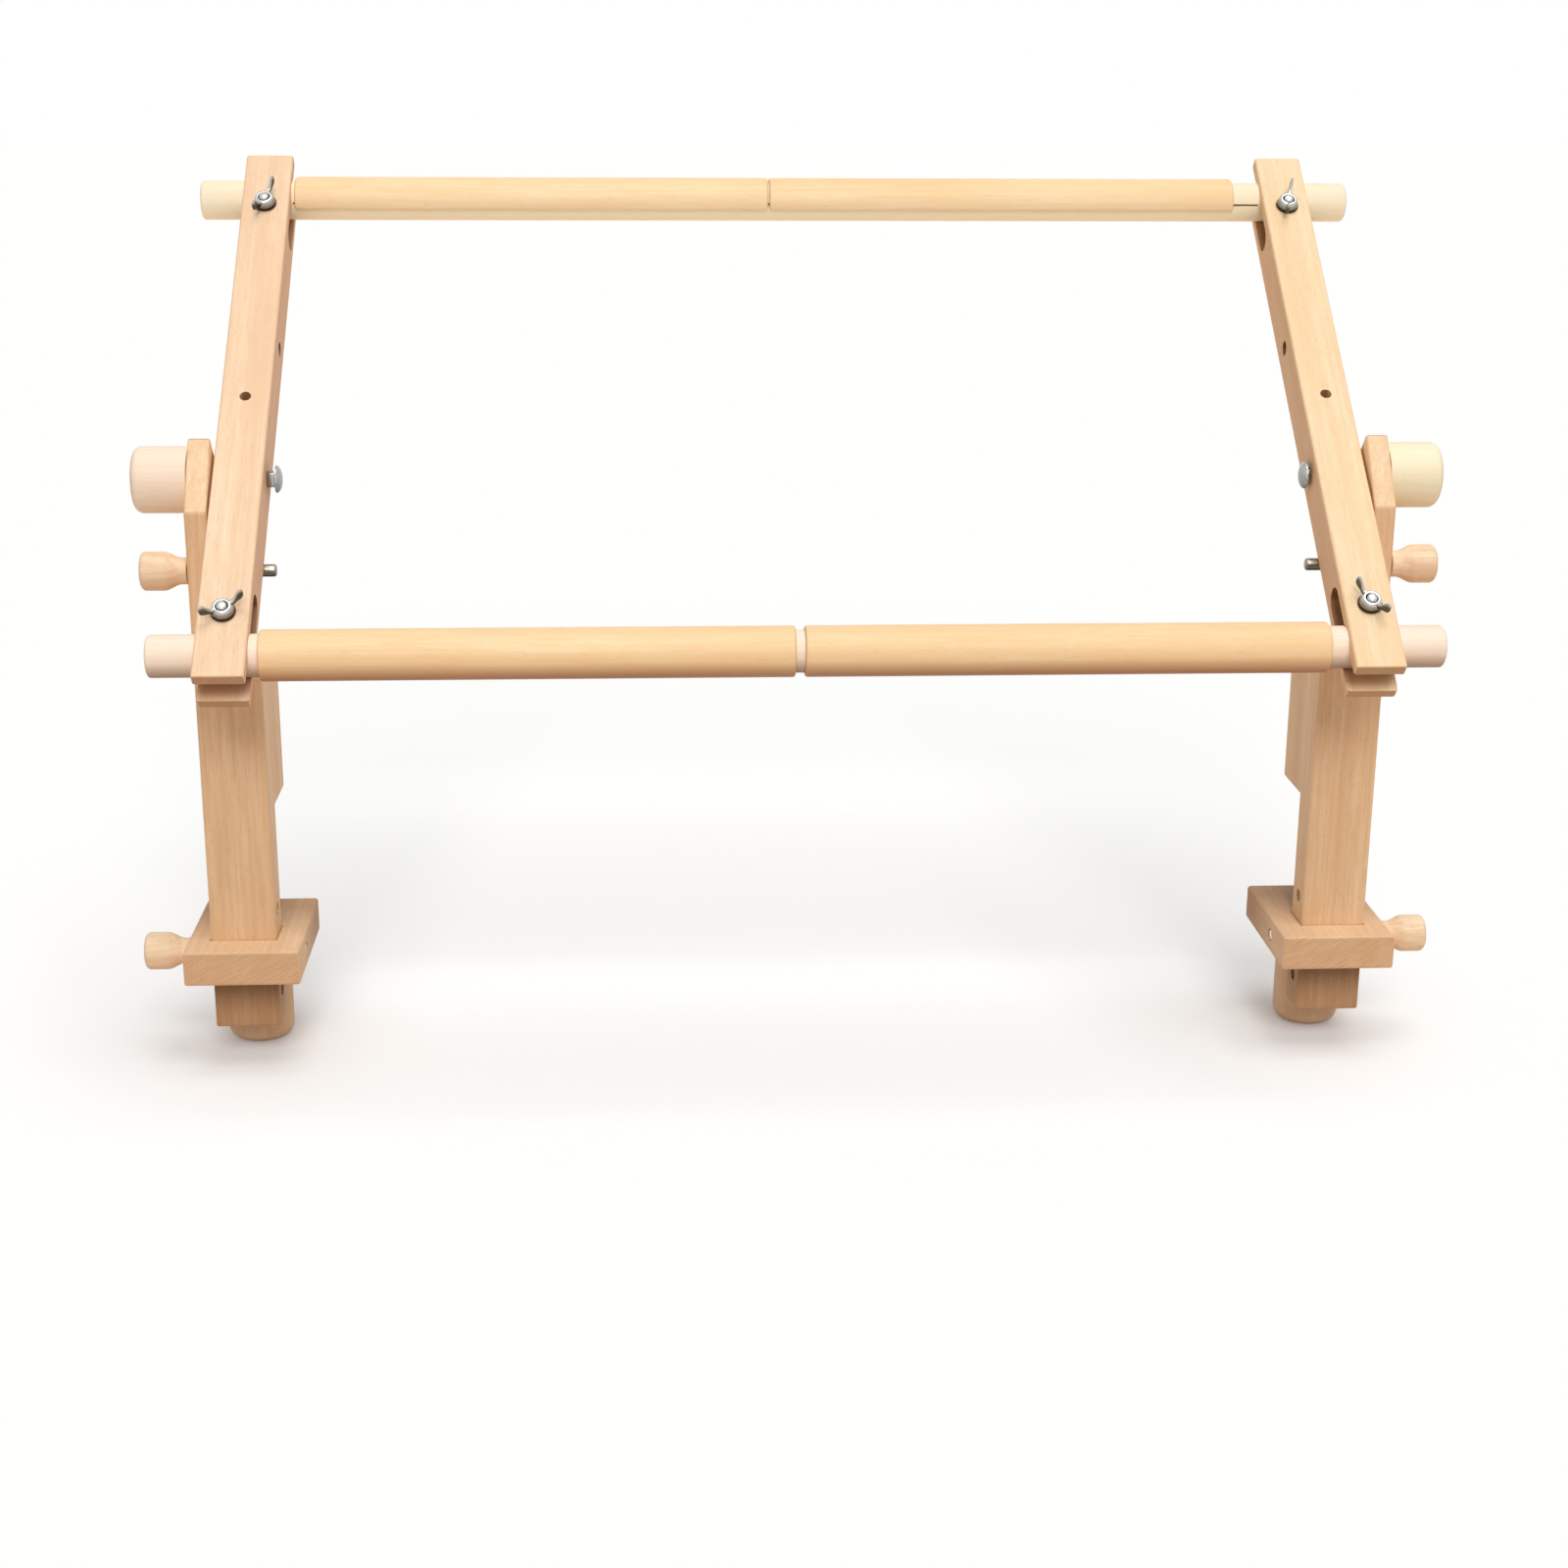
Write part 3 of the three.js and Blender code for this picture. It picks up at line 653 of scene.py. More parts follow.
def jaw_wood():
    # Painted shadow: the block darker towards its rear, under the post's head and the rail.
    return wood("jaw_beech", "jaw", (0, 1, 0), (-0.5, 0, 0.87), spacing=0.0017, contrast=0.9,
                waviness=3.0, tints=((stretch("Y", -0.014, 0.02), (0.55, 0.48, 0.43)),))


def roller_wood(end):
    # Undersides: painted shade on the front roller, painted light on the back one.
    start, tint = {"front": (0.1, (0.45, 0.4, 0.38)), "back": (-0.4, (1.3, 1.42, 1.42))}[end]
    return wood(f"roller_dowel_{end}", f"{end}_roller", (1, 0, 0), (0, 0.5, 0.87),
                spacing=0.003, contrast=0.5, tints=((underside(start), tint),))


def clip_wood(end):
    # Undersides: painted shade on the front clips, painted light on the back ones.
    start, tint = {"front": (0.15, (0.46, 0.34, 0.3)), "back": (-0.6, (1.15, 1.35, 1.6))}[end]
    return wood(f"{end}_clip_wood", "clip", (1, 0, 0), (0, -0.77, 0.64), spacing=0.0042,
                contrast=0.8, rough=0.5, waviness=9.0, tints=((underside(start), tint),))


def knob_wood(name):
    return wood(f"tilt_knob_{name}", f"{name}_knob", (1, 0, 0), (0, 0.6, 0.8), contrast=0.6)


def upright_knob_wood():
    return wood("clamp_knob_wood", "clamp_knob", (0, 0, 1), (0.7, 0.7, 0), spacing=0.003,
                contrast=0.7)


def small_knob_wood():
    return wood("little_knob_wood", "small_knob", (1, 0, 0), (0, -0.5, 0.87), spacing=0.0028,
                contrast=1.3)


# Each metal: its tone, roughness, lit side, and how dark and over what facing its painted shade and
# reflection fall.
def zinc():
    return metal("zinc_plate", colours().zinc, 0.16, NUT_AXIS, 0.16, 0.05, 0.5)


def bolt_zinc():
    return metal("bolt_zinc", colours().bolt, 0.16, (0, -0.5, 0.87), 0.22, -0.5, 0.5)


def bright_steel():
    return metal("polished_steel", colours().steel, 0.3, (0, 0, 1), 0.4, -0.9, -0.1)


def peg_steel():
    return metal("peg_steel", colours().peg, 0.14, (0, 0, 1), 0.25)


def washer_steel():
    return metal("washer_steel", colours().washer, 0.2, NUT_AXIS, 0.25)


# Rollers and clips


class EMBROIDERY_OT_rollers(Operator):
    """Two dowels with rounded ends and a stopped slit for the cloth."""

    bl_idname = "embroidery_frame.rollers"
    bl_label = "Rollers"

    slit_angles = {"front": radians(253), "back": radians(185)}

    def execute(self, context):
        for end, angle in self.slit_angles.items():
            self.make(end, angle)
        return {"FINISHED"}

    def make(self, end, angle):
        s = sizes()
        node = f"{end}_rod"
        half, radius = extent(node).x / 2, extent(node).z / 2
        outline = [(0, -half), *rounded_ends(radius, half, s.roller_round), (0, half)]
        rod = lay(turned(f"{node}_dowel", outline, 96), ALONG_X)
        reach = -inner_face("left_rail", -1) - s.slit_margin
        corner = Vector((reach, radius * 2, s.slit_width / 2))
        cut(rod, lay(block("blade", -corner, corner), Matrix.Rotation(angle, 4, "X")))
        lay(rod, at(middle(node)))
        finish_piece(smooth(rod), roller_wood(end), f"{end}_roller", "rod_wood", node)


class EMBROIDERY_OT_clips(Operator):
    """Four springy half shells that hold the cloth on the rollers."""

    bl_idname = "embroidery_frame.clips"
    bl_label = "Cloth clips"

    open_towards = {"front": radians(347), "back": radians(251)}

    def execute(self, context):
        for end, angle in self.open_towards.items():
            for _, side in SIDES:
                self.make(end, side, angle)
        return {"FINISHED"}

    def make(self, end, side, open_angle):
        s = sizes()
        node, rod = f"{end}_{side}_clip", f"{end}_rod"
        half, inner = extent(node).x / 2, extent(rod).z / 2 + SEAT_GAP
        ends = rounded_ends(inner + s.clip_wall, half, s.clip_wall * 0.85, 5)
        shell = drawn(f"{node}_shell", [(inner, -half), *ends, (inner, half)])
        spun(shell, 84, 2 * pi - s.clip_opening, filled=True)
        across = sum(v.co.x for v in shell.data.vertices)
        away = sum(v.co.y for v in shell.data.vertices)
        wanted = open_angle + pi + pi / 2
        lay(shell, Matrix.Rotation(wanted - atan2(away, across), 4, "Z"))
        ease(shell, s.clip_wall * 0.36, angle=50)
        centre = middle(rod)
        centre.x = middle(node).x
        lay(shell, at(centre) @ ALONG_X)
        finish_piece(smooth(shell), clip_wood(end), f"{end}_{side}_shell", "clip_wood", node)


# Rails and their clamps


def rail_ends():
    """Each end of a rail: name, place of the end along the rail, and which way is inward."""
    start = sizes().rail_length / 2 - sizes().hole_offset
    return (("front", -start, 1), ("back", sizes().rail_length - start, -1))


class EMBROIDERY_OT_rails(Operator):
    """Two side rails, forked at both ends and bored for the rollers and bolts."""

    bl_idname = "embroidery_frame.rails"
    bl_label = "Side rails"

    def execute(self, context):
        rail = self.make()
        for _, name in SIDES:
            node = f"{name}_rail"
            place = RAIL @ at((middle(node).x, 0, 0))
            piece = lay(copy_of(rail, f"{node}_beech"), place)
            finish_piece(sawn(piece), rail_wood(name), f"{name}_frame", "rail_wood", node)
        bpy.data.objects.remove(rail)
        return {"FINISHED"}

    def fork(self, end, inward):
        """Slot with a round inner end, drawn from past the rail's end."""
        s = sizes()
        half, deep = s.slot_height / 2, end + inward * (s.rod_inset + s.slot_reach)
        low, high = sorted((end - inward * OVERRUN, deep))
        slot = block("slot", (-s.rail_width, low, -half), (s.rail_width, high, half))
        pick_edges(slot, X, deep)
        with editing(slot, "EDGE"):
            # Just under half of the slot, so that the two rounds don't meet
            bpy.ops.mesh.bevel(offset=s.slot_height * 0.499, segments=16, affect="EDGES")
        return slot

    def make(self):
        s = sizes()
        width, depth = s.rail_width / 2, s.rail_depth / 2
        ends = rail_ends()
        rail = block("rail", (-width, ends[0][1], -depth), (width, ends[1][1], depth))
        ease(rail, s.rail_edge, 4)
        roller_hole = extent("front_rod").z / 2 + RUNNING_GAP
        for _, end, inward in ends:
            roller = end + inward * s.rod_inset
            cut(rail, self.fork(end, inward))
            bore(rail, X, roller_hole, THROUGH, (0, roller, 0), 96)
            bore(rail, Z, CLAMP_BOLT_HOLE, THROUGH, (0, roller + inward * s.bolt_inset, 0))
        for hole in (0, 2 * s.hole_offset):
            bore(rail, X, TILT_BOLT_HOLE, THROUGH, (0, hole, 0))
        return bore(rail, Z, s.middle_hole / 2, THROUGH, (0, s.hole_offset, 0))


def dome(diameter, height, steps=8):
    """Points of a domed head below zero, from its crown to its rim."""
    turn = [pi / 2 * (1 - step / steps) for step in range(steps + 1)]
    points = [(diameter / 2 * cos(a), -height * sin(a)) for a in turn]
    return [(0, -height), *points[1:]]


def sleeve(name, inner, outer, low, high, edge=0.2 * MM):
    """Ring on Z with its outer edges broken."""
    return ring(name, [
        (inner, low), (outer - edge, low), (outer, low + edge),
        (outer, high - edge), (outer - edge, high), (inner, high),
    ])


def thread(name, core, crest, pitch, start, end):
    """Ridge of a screw thread about Z, a triangle with its base on the core."""
    only()
    bpy.ops.mesh.primitive_circle_add(vertices=3, radius=1, fill_type="NOTHING")
    ridge = added(name)
    # The triangle as added is 1.73 wide and 1.5 high.
    flat = Matrix.Diagonal((pitch * 0.52, (crest - core) / 1.5, 1, 1))
    upright = Matrix(((0, 1, 0, 0), (0, 0, 1, 0), (1, 0, 0, 0), (0, 0, 0, 1)))
    lay(ridge, at((core + (crest - core) / 3, 0, start)) @ upright @ flat)
    apply_modifier(
        ridge, "SCREW", axis="Z", angle=2 * pi, screw_offset=pitch,
        iterations=max(1, round((end - start) / pitch)), steps=28, render_steps=28,
        use_merge_vertices=False,
    )
    with editing(ridge):
        bpy.ops.mesh.select_all(action="SELECT")
        bpy.ops.mesh.fill_holes(sides=4)
        bpy.ops.mesh.select_all(action="SELECT")
        bpy.ops.mesh.normals_make_consistent(inside=False)
    return smooth(ridge, 50)


class EMBROIDERY_OT_rail_clamps(Operator):
    """Bolt, washer and wing nut that pinch each fork on its roller."""

    bl_idname = "embroidery_frame.rail_clamps"
    bl_label = "Rail clamps"

    turns = {
        ("left", "front"): radians(30),
        ("left", "back"): radians(66),
        ("right", "front"): radians(125),
        ("right", "back"): radians(76),
    }
    # An ear of the wing nut in millimetres: how far out it is, the height of its middle and half
    # its own height there, and then what is left of its thickness
    ear_stations = (
        (4.2, 2.2, 1.4, 0.95), (5.3, 3.3, 1.9, 0.85), (6.5, 4.5, 2.9, 0.95), (7.6, 4.8, 2.7, 1.0),
        (8.4, 4.9, 1.6, 0.8),
    )

    def execute(self, context):
        s = sizes()
        bolt, washer, nut = self.bolt(), self.washer(), self.nut()
        top = s.rail_depth / 2
        for _, side in SIDES:
            for end, start, inward in rail_ends():
                spot = start + inward * (s.rod_inset + s.bolt_inset)
                place = RAIL @ at((middle(f"{side}_rail").x, spot, 0))
                body, stem = f"{side}_frame", f"{side}_{end}"
                piece = lay(copy_of(bolt, f"{stem}_bolt"), place @ lift(-top - SEAT_GAP))
                finish_piece(piece, zinc(), body, "zinc", f"{stem}_clamp_bolt")
                piece = lay(copy_of(washer, f"{stem}_flat_washer"), place @ lift(top + 0.1 * MM))
                finish_piece(piece, washer_steel(), body, "bright_steel", f"{stem}_washer")
                on_washer = place @ lift(top + 0.9 * MM)
                turn = Matrix.Rotation(self.turns[side, end], 4, "Z")
                piece = lay(copy_of(nut, f"{stem}_winged_nut"), on_washer @ turn)
                finish_piece(piece, zinc(), f"{stem}_nut", "zinc", f"{stem}_wing_nut")
        for piece in (bolt, washer, nut):
            bpy.data.objects.remove(piece)
        return {"FINISHED"}

    def bolt(self):
        radius, tip, tip_round = 1.8 * MM, sizes().rail_depth + 4.8 * MM, 0.9 * MM
        shank = turned("bolt_shank", [
            *dome(9 * MM, 2.2 * MM), (4.4 * MM, 0.05 * MM), (radius, 0.1 * MM),
            *arc(radius - tip_round, tip - tip_round, tip_round, 0, 90, 5), (0, tip),
        ], 40)
        ridge = thread("bolt_thread", 1.75 * MM, 2 * MM, 0.7 * MM, 8 * MM, tip - 1.4 * MM)
        return joined("bolt", shank, ridge)

    def washer(self):
        return sleeve("washer", CLAMP_BOLT_HOLE, 4.4 * MM, 0, 0.6 * MM, 0.15 * MM)

    def nut(self):
        hub = ring("hub", in_mm(
            (2.05, 0.2), (2.5, 0), (3.7, 0), (4, 0.3), (3.9, 0.9), (3.5, 2.5), (3.2, 2.9),
            (2.8, 3.1), (2.4, 3.05), (2.05, 2.7),
        ))
        ear = self.ear()
        other = lay(copy_of(ear, "other_ear"), Matrix.Rotation(pi, 4, "Z"))
        return smooth(joined("wing_nut", hub, ear, other), 50)

    def ear(self):
        """Wing drawn out of the hub in steps, then rounded by subdivision."""
        thick, root = 1.8 * MM, 2.2 * MM
        out, up, tall = 3.1 * MM, 2 * MM, 1.3 * MM
        ear = block("ear", (root, -thick / 2, up - tall), (out, thick / 2, up + tall))
        pick(ear, ear.data.polygons, lambda face: face.normal.x > 0.9)
        with editing(ear, "FACE"):
            for reach, height, half, share in self.ear_stations:
                step = (reach * MM - out, 0, height * MM - up)
                bpy.ops.mesh.extrude_region_move(TRANSFORM_OT_translate={"value": step})
                out, up = reach * MM, height * MM
                scale = (1, share, half * MM / tall)
                bpy.ops.transform.resize(value=scale, center_override=(out, 0, up))
                tall = half * MM
        return apply_modifier(ear, "SUBSURF", levels=2, render_levels=2)


# Posts


def saw_off(point, outwards):
    """Takes off the part of the edited piece that lies past a plane."""
    bpy.ops.mesh.select_all(action="SELECT")
    bpy.ops.mesh.bisect(plane_co=point, plane_no=outwards, use_fill=True, clear_outer=True)


class EMBROIDERY_OT_posts(Operator):
    """Two posts sawn from one board each: shaft, deep head, and a plate with facets on its top."""

    bl_idname = "embroidery_frame.posts"
    bl_label = "Posts"

    def execute(self, context):
        for side, name in SIDES:
            self.make(side, name)
        return {"FINISHED"}

    def make(self, side, name):
        s = sizes()
        node = f"{name}_post"
        low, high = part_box(node)
        post = block(f"{node}_beech", low, high)
        past = Vector((OVERRUN, OVERRUN, OVERRUN))
        start, end = low - past, high + past
        inner = (start.x, high.x - s.plate) if side > 0 else (low.x + s.plate, end.x)
        shaft_back = low.y + s.shaft_depth
        cut(
            post,
            block("under_head", (start.x, shaft_back, start.z), (end.x, end.y, 0)),
            block("notch", (inner[0], start.y, s.shoulder), (inner[1], end.y, end.z)),
        )
        facet_foot = PIVOT.z - s.chamfer_drop
        crown = Vector((0, (low.y + high.y) / 2, high.z - s.crown_round))
        with editing(post):
            for edge, way in ((low.y, -1), (high.y, 1)):
                saw_off((0, edge, facet_foot), (0, way * s.chamfer_rise, s.chamfer_run))
            for degrees in range(-48, 49, 12):
                outwards = Vector((0, sin(radians(degrees)), cos(radians(degrees))))
                saw_off(crown + s.crown_round * outwards, outwards)
        ease(post, s.post_edge, angle=32)
        centre, lock = (low.x + high.x) / 2, middle(f"{name}_lock_bolt")
        bore(post, X, TILT_BOLT_HOLE, THROUGH, (centre, PIVOT.y, PIVOT.z))
        pins = [middle(f"{name}_stop_peg")]
        pins += [lock + Vector((0, 0, step * PIN_HOLE_PITCH)) for step in (-1, 0, 1)]
        for pin_place in pins:
            bore(post, X, PIN_HOLE, THROUGH, (centre, pin_place.y, pin_place.z))
        finish_piece(sawn(post), post_wood(), f"{name}_stand", "post_wood", node)


# Knobs, bolts and pins on the posts


def outwards_from(side, x, centre):
    """Lays a piece drawn on Z along X, with its zero at x and its far end away from the middle."""
    turn = ALONG_X if side > 0 else ALONG_MINUS_X
    return at((x, centre.y, centre.z)) @ turn


def barrel(name, radius, long, edge, hole, depth):
    """Big turned knob on Z, its seat at zero, bored from the seat."""
    lip = 0.3 * MM
    return turned(name, [
        (0, depth), (hole, depth), (hole, lip), (hole + lip, 0),
        (radius - 0.5 * MM, 0), (radius - 0.15 * MM, 0.15 * MM), (radius, 0.5 * MM),
        *arc(radius - edge, long - edge, edge, 0, 90, 12), (0, long),
    ], 96)


def pin(name, radius, long, tip):
    """Steel pin on Z from its rounded tip at zero."""
    rounded_tip = arc(radius - tip, tip, tip, -90, 0, 6)[1:]
    return turned(name, [(0, 0), *rounded_tip, (radius, long), (0, long)], 48)


def small_knob(name, long):
    """Small turned knob on Z with its neck at zero."""
    neck, head, edge = 4.8 * MM, 7 * MM, 1.8 * MM
    foot, lip, hole_depth = 0.3 * MM, 0.2 * MM, 10 * MM
    cove_start, cove_end, cove_steps, waist = 1.6 * MM, long - 8.2 * MM, 14, 0.25 * MM
    cove = []
    for step in range(cove_steps + 1):
        share = step / cove_steps
        rise = (1 - cos(pi * share)) / 2
        radius = neck - waist * sin(pi * share) + (head - neck) * rise
        cove.append((radius, cove_start + (cove_end - cove_start) * share))
    return turned(name, [
        (0, hole_depth), (PIN_HOLE, hole_depth), (PIN_HOLE, lip), (PIN_HOLE + lip, 0),
        (neck - foot, 0), (neck, foot), *cove, (head, cove_end + 0.6 * MM),
        *arc(head - edge, long - edge, edge, 0, 90, 8), (0, long),
    ], 80)


class EMBROIDERY_OT_tilt_clamps(Operator):
    """Mushroom bolt through rail and plate, with a big knob outside."""

    bl_idname = "embroidery_frame.tilt_clamps"
    bl_label = "Tilt clamps"

    def execute(self, context):
        for side, name in SIDES:
            self.bolt(side, name)
            self.knob(side, name)
        return {"FINISHED"}

    def bolt(self, side, name):
        node = f"{name}_tilt_bolt"
        crown, head, radius, half_neck = inner_face(node, side), 2.2 * MM, 2.5 * MM, 2.6 * MM
        long = extent(node).x - head
        neck = side * (inner_face(f"{name}_rail", side) - crown) - head
        shank = turned("tilt_shank", [
            *dome(10 * MM, head, 10), (4.85 * MM, 0.12 * MM), (radius, 0.2 * MM),
            (radius, long - MM), (1.7 * MM, long), (0, long),
        ], 56)
        square = block("neck", (-half_neck, -half_neck, 0), (half_neck, half_neck, neck))
        bolt = smooth(joined(f"{node}_carriage", shank, ease(square, 0.4 * MM, 2)), 40)
        lay(bolt, outwards_from(side, crown + side * head, PIVOT))
        finish_piece(bolt, bolt_zinc(), f"{name}_frame", "zinc", node)

    def knob(self, side, name):
        node, body = f"{name}_tilt_knob", f"{name}_knob"
        size, insert = extent(node), extent(f"{node}_insert")
        place = outwards_from(side, inner_face(node, side), PIVOT)
        hole, depth = insert.z / 2 + SEAT_GAP, insert.x + 2 * SEAT_GAP
        knob = barrel(f"{node}_turned", size.z / 2, size.x, 3.1 * MM, hole, depth)
        finish_piece(lay(knob, place), knob_wood(name), body, "knob_wood", node)
        start, end = SEAT_GAP, insert.x + SEAT_GAP
        nut = sleeve(f"{node}_socket", TILT_BOLT_HOLE, insert.z / 2, start, end)
        finish_piece(lay(nut, place), bright_steel(), body, "bright_steel", f"{node}_insert")


class EMBROIDERY_OT_small_knobs(Operator):
    """Stop pegs under the rails and lock bolts through the jaw blocks, each with a small knob."""

    bl_idname = "embroidery_frame.small_knobs"
    bl_label = "Pegs and lock bolts"

    def execute(self, context):
        for side, name in SIDES:
            self.make(side, f"{name}_stop", "peg", 0.9 * MM, peg_steel())
            self.make(side, f"{name}_lock", "bolt", -0.6 * MM, bright_steel())
        return {"FINISHED"}

    def make(self, side, stem, kind, short, steel):
        """One knob and its pin, which is drawn shorter than its node at the inner end."""
        node = f"{stem}_knob"
        centre = middle(node)
        place = outwards_from(side, inner_face(node, side), centre)
        knob = lay(small_knob(f"{node}_turned", extent(node).x), place)
        finish_piece(knob, small_knob_wood(), stem, "knob_wood", node)
        node = f"{stem}_{kind}"
        size, tip = extent(node), inner_face(node, side) + side * short
        rod = pin(f"{node}_steel", size.z / 2, size.x - short, 0.9 * MM)
        lay(rod, outwards_from(side, tip, centre))
        finish_piece(rod, steel, stem, "bright_steel", node)


# Jaws


class EMBROIDERY_OT_jaws(Operator):
    """Two jaw blocks, mortised for the posts, with their threaded inserts."""

    bl_idname = "embroidery_frame.jaws"
    bl_label = "Jaw blocks"

    def execute(self, context):
        for side, name in SIDES:
            self.jaw(side, name)
            self.insert(name, "lock", PIN_HOLE, Z, X, ALONG_X)
            self.insert(name, "clamp", CLAMP_SCREW_HOLE, X, Z)
        return {"FINISHED"}

    def jaw(self, side, name):
        s = sizes()
        node = f"{name}_jaw_block"
        low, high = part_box(node)
        jaw = block(f"{node}_beech", low, high)
        pick_edges(jaw, Z, high.y)
        with editing(jaw, "EDGE"):
            bpy.ops.mesh.bevel(offset=s.jaw_rear_round, segments=8, affect="EDGES")
        ease(jaw, s.jaw_edge, angle=40)
        post_low, post_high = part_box(f"{name}_post")
        shaft_back = post_low.y + s.shaft_depth
        mortise = block(
            "mortise",
            (post_low.x - SEAT_GAP, post_low.y - SEAT_GAP, low.z - OVERRUN),
            (post_high.x + SEAT_GAP, shaft_back + SEAT_GAP, high.z + OVERRUN),
        )
        cut(jaw, mortise)
        lock, screw = middle(f"{name}_lock_bolt"), middle(f"{name}_clamp_screw")
        lock_insert, clamp_insert = extent(f"{name}_lock_insert"), extent(f"{name}_clamp_insert")
        bore(jaw, X, PIN_HOLE, THROUGH, ((low.x + high.x) / 2, lock.y, lock.z))
        inside = inner_face(f"{name}_post", side)
        wall = side * (inside - inner_face(node, side))
        bore(jaw, X, lock_insert.z / 2 + SEAT_GAP, wall, (inside, lock.y, lock.z))
        bore(jaw, Z, clamp_insert.x / 2 + SEAT_GAP, THROUGH, (screw.x, screw.y, low.z), 64)
        finish_piece(sawn(jaw), jaw_wood(), f"{name}_stand", "jaw_wood", node)

    def insert(self, name, kind, hole, across, along, turn=Matrix.Identity(4)):
        """Threaded sleeve, with the axes that its width and its length are taken from."""
        node = f"{name}_{kind}_insert"
        radius, half = extent(node)[across] / 2, extent(node)[along] / 2
        nut = sleeve(f"{node}_socket", hole, radius, -half, half)
        lay(nut, at(middle(node)) @ turn)
        finish_piece(nut, bright_steel(), f"{name}_stand", "bright_steel", node)


class EMBROIDERY_OT_clamp_screws(Operator):
    """Upright screws with a long knob below and a pad on the tip."""

    bl_idname = "embroidery_frame.clamp_screws"
    bl_label = "Clamp screws"

    def execute(self, context):
        for _, name in SIDES:
            self.knob(name)
            self.screw(name)
            self.pad(name)
        return {"FINISHED"}

    def knob(self, name):
        node = f"{name}_clamp_knob"
        size, seat = extent(node), middle(node)
        seat.z += size.z / 2
        knob = barrel(f"{node}_turned", size.x / 2, size.z, 4.6 * MM, CLAMP_SCREW_HOLE, 22 * MM)
        lay(knob, at(seat) @ UPSIDE_DOWN)
        finish_piece(knob, upright_knob_wood(), f"{name}_screw", "knob_wood", node)

    def screw(self, name):
        node = f"{name}_clamp_screw"
        low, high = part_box(node)
        size, centre = extent(node), middle(node)
        radius, thread_depth = size.x / 2, 0.5 * MM
        core = radius - thread_depth
        shank = lay(pin("screw_core", core, size.z, 0.8 * MM), lift(high.z) @ UPSIDE_DOWN)
        start, end = low.z + 18 * MM, high.z - 1.4 * MM
        ridge = thread("screw_thread", core - 0.05 * MM, radius, MM, start, end)
        screw = joined(f"{node}_threaded", shank, ridge)
        lay(screw, at((centre.x, centre.y, 0)))
        finish_piece(screw, zinc(), f"{name}_screw", "zinc", node)

    def pad(self, name):
        node = f"{name}_clamp_pad"
        size, foot = extent(node), middle(node)
        foot.z -= size.z / 2
        radius, edge = size.x / 2, 0.7 * MM
        pad = turned(f"{node}_swivel", [
            *in_mm((0, 2.5), (3.3, 2.5), (3.3, 0.2), (3.5, 0), (5, 0), (5.2, 1.2)),
            (radius - 0.4 * MM, 1.9 * MM), (radius, 2.4 * MM),
            *arc(radius - edge, size.z - edge, edge, 0, 90, 5), (0, size.z),
        ])
        lay(pad, at(foot))
        finish_piece(pad, zinc(), f"{name}_pad_body", "zinc", node)


# Stage


def seen_rays(tree):
    """1 for what the camera, a gloss or a clear surface sees, 0 for light on the object."""
    path = add(tree, "ShaderNodeLightPath")
    seen = path.outputs["Is Camera Ray"]
    for other in ("Is Glossy Ray", "Is Transmission Ray"):
        seen = calculated(tree, "MAXIMUM", seen, path.outputs[other])
    return seen


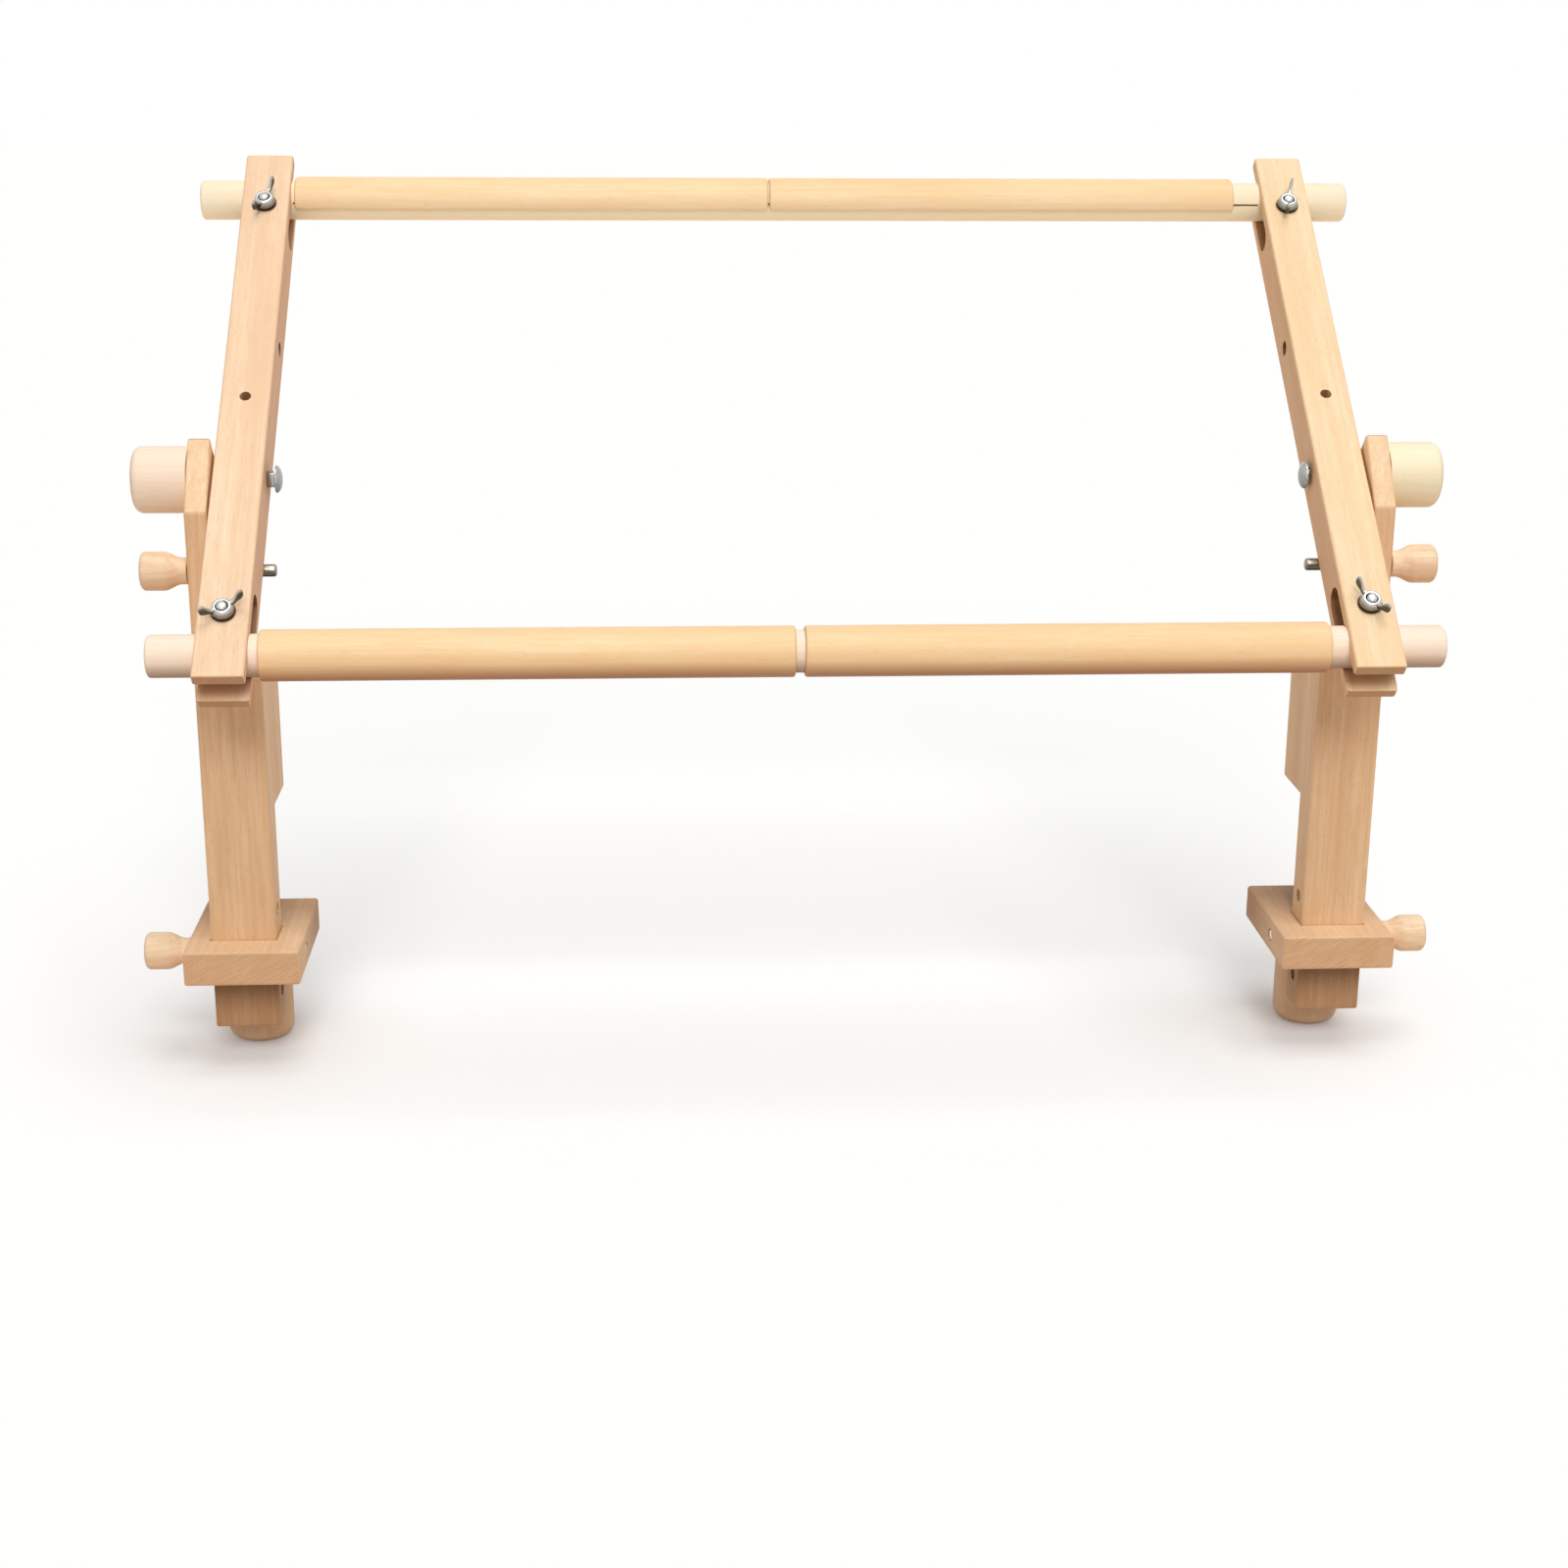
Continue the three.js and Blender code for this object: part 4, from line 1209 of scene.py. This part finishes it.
class EMBROIDERY_OT_stage(Operator):
    """Pale floor, soft light and the camera."""

    bl_idname = "embroidery_frame.stage"
    bl_label = "Stage"

    # Name, strength, softness in degrees, and where the light comes from
    lamps = (("overhead", 1.22, 36, (0.1, -0.2, 0.97)), ("front", 1.2, 26, (0.02, -0.78, 0.62)))

    def execute(self, context):
        self.floor()
        self.light()
        self.camera(context.scene)
        return {"FINISHED"}

    def floor(self):
        """Plane just under the lowest piece, white to the eye and warmer in what it throws back."""
        only()
        bpy.ops.mesh.primitive_plane_add(size=12, location=(0, 1.5, cad_box[0].z - 0.3 * MM))
        floor = lay(added("studio_floor"))
        material, tree, shader = blank_material("studio_floor")
        place = add(tree, "ShaderNodeTexCoord").outputs["Object"]
        tooth = streaks(tree, place, (0, 0, 0), (0.02, 0.02, 0.02))
        pale = colours().floor
        white = mixed(tree, tooth, pale, tuple(value * 0.99 for value in pale))
        seen = seen_rays(tree)
        ground = mixed(tree, seen, colours().floor_bounce, white)
        tree.links.new(ground, shader.inputs["Base Color"])
        shader.inputs["Roughness"].default_value = 0.9
        shader.inputs["Specular IOR Level"].default_value = 0.0
        shader.inputs["Emission Color"].default_value = (1, 1, 1, 1)
        tree.links.new(spread(tree, seen, 0, 1, 0, 0.13), shader.inputs["Emission Strength"])
        floor.data.materials.append(material)

    def light(self):
        """White sky, brighter to the eye than on the pieces, and two soft suns."""
        world = bpy.data.worlds.new("studio")
        bpy.context.scene.world = world
        world.use_nodes = True
        tree = world.node_tree
        tree.nodes.clear()
        strength = spread(tree, seen_rays(tree), 0, 1, 0.3, 1.0)
        sky = add(tree, "ShaderNodeBackground", {"Color": (1, 1, 1, 1), "Strength": strength})
        out = add(tree, "ShaderNodeOutputWorld")
        tree.links.new(sky.outputs["Background"], out.inputs["Surface"])
        for name, energy, softness, way in self.lamps:
            only()
            bpy.ops.object.light_add(type="SUN", location=Vector(way) * 2)
            lamp = added(name)
            lamp.data.energy = energy
            lamp.data.angle = radians(softness)
            lamp.rotation_euler = Vector(way).to_track_quat("Z", "Y").to_euler()

    def camera(self, scene):
        """Stands where a fit to the photo put it. The fit's focal length is in pixels."""
        film, focal_pixels, photo_pixels = 36, 2550, 1600
        only()
        bpy.ops.object.camera_add(
            location=(-0.0555, -0.8943, 0.2813),
            rotation=(radians(72.925), radians(-0.343), radians(-3.222)),
        )
        camera = bpy.context.active_object
        camera.data.sensor_width = film
        camera.data.lens = film * focal_pixels / photo_pixels
        camera.data.clip_start = 0.01
        scene.camera = camera
        scene.view_settings.view_transform = "Standard"


PIECES = (
    EMBROIDERY_OT_rollers,
    EMBROIDERY_OT_clips,
    EMBROIDERY_OT_rails,
    EMBROIDERY_OT_rail_clamps,
    EMBROIDERY_OT_posts,
    EMBROIDERY_OT_tilt_clamps,
    EMBROIDERY_OT_small_knobs,
    EMBROIDERY_OT_jaws,
    EMBROIDERY_OT_clamp_screws,
    EMBROIDERY_OT_stage,
)


class EMBROIDERY_PT_panel(Panel):
    """Lists the pieces of the scroll frame and their sizes and colours."""

    bl_idname = "EMBROIDERY_PT_panel"
    bl_label = "Embroidery Frame"
    bl_space_type = "VIEW_3D"
    bl_region_type = "UI"
    bl_category = "Embroidery"

    def draw(self, context):
        layout = self.layout
        for piece in PIECES:
            layout.operator(piece.bl_idname)
        for group in (sizes(), colours()):
            box = layout.box()
            for name in group.__annotations__:
                box.prop(group, name)


CLASSES = (EmbroideryFrameSizes, EmbroideryFrameColours, *PIECES, EMBROIDERY_PT_panel)


def register():
    for cls in CLASSES:
        bpy.utils.register_class(cls)
    bpy.types.Scene.embroidery_frame_sizes = PointerProperty(type=EmbroideryFrameSizes)
    bpy.types.Scene.embroidery_frame_colours = PointerProperty(type=EmbroideryFrameColours)


def unregister():
    del bpy.types.Scene.embroidery_frame_colours
    del bpy.types.Scene.embroidery_frame_sizes
    for cls in reversed(CLASSES):
        bpy.utils.unregister_class(cls)


def main():
    register()
    make = bpy.ops.embroidery_frame
    make.rollers()
    make.clips()
    make.rails()
    make.rail_clamps()
    make.posts()
    make.tilt_clamps()
    make.small_knobs()
    make.jaws()
    make.clamp_screws()
    make.stage()


if __name__ == "__main__":
    main()
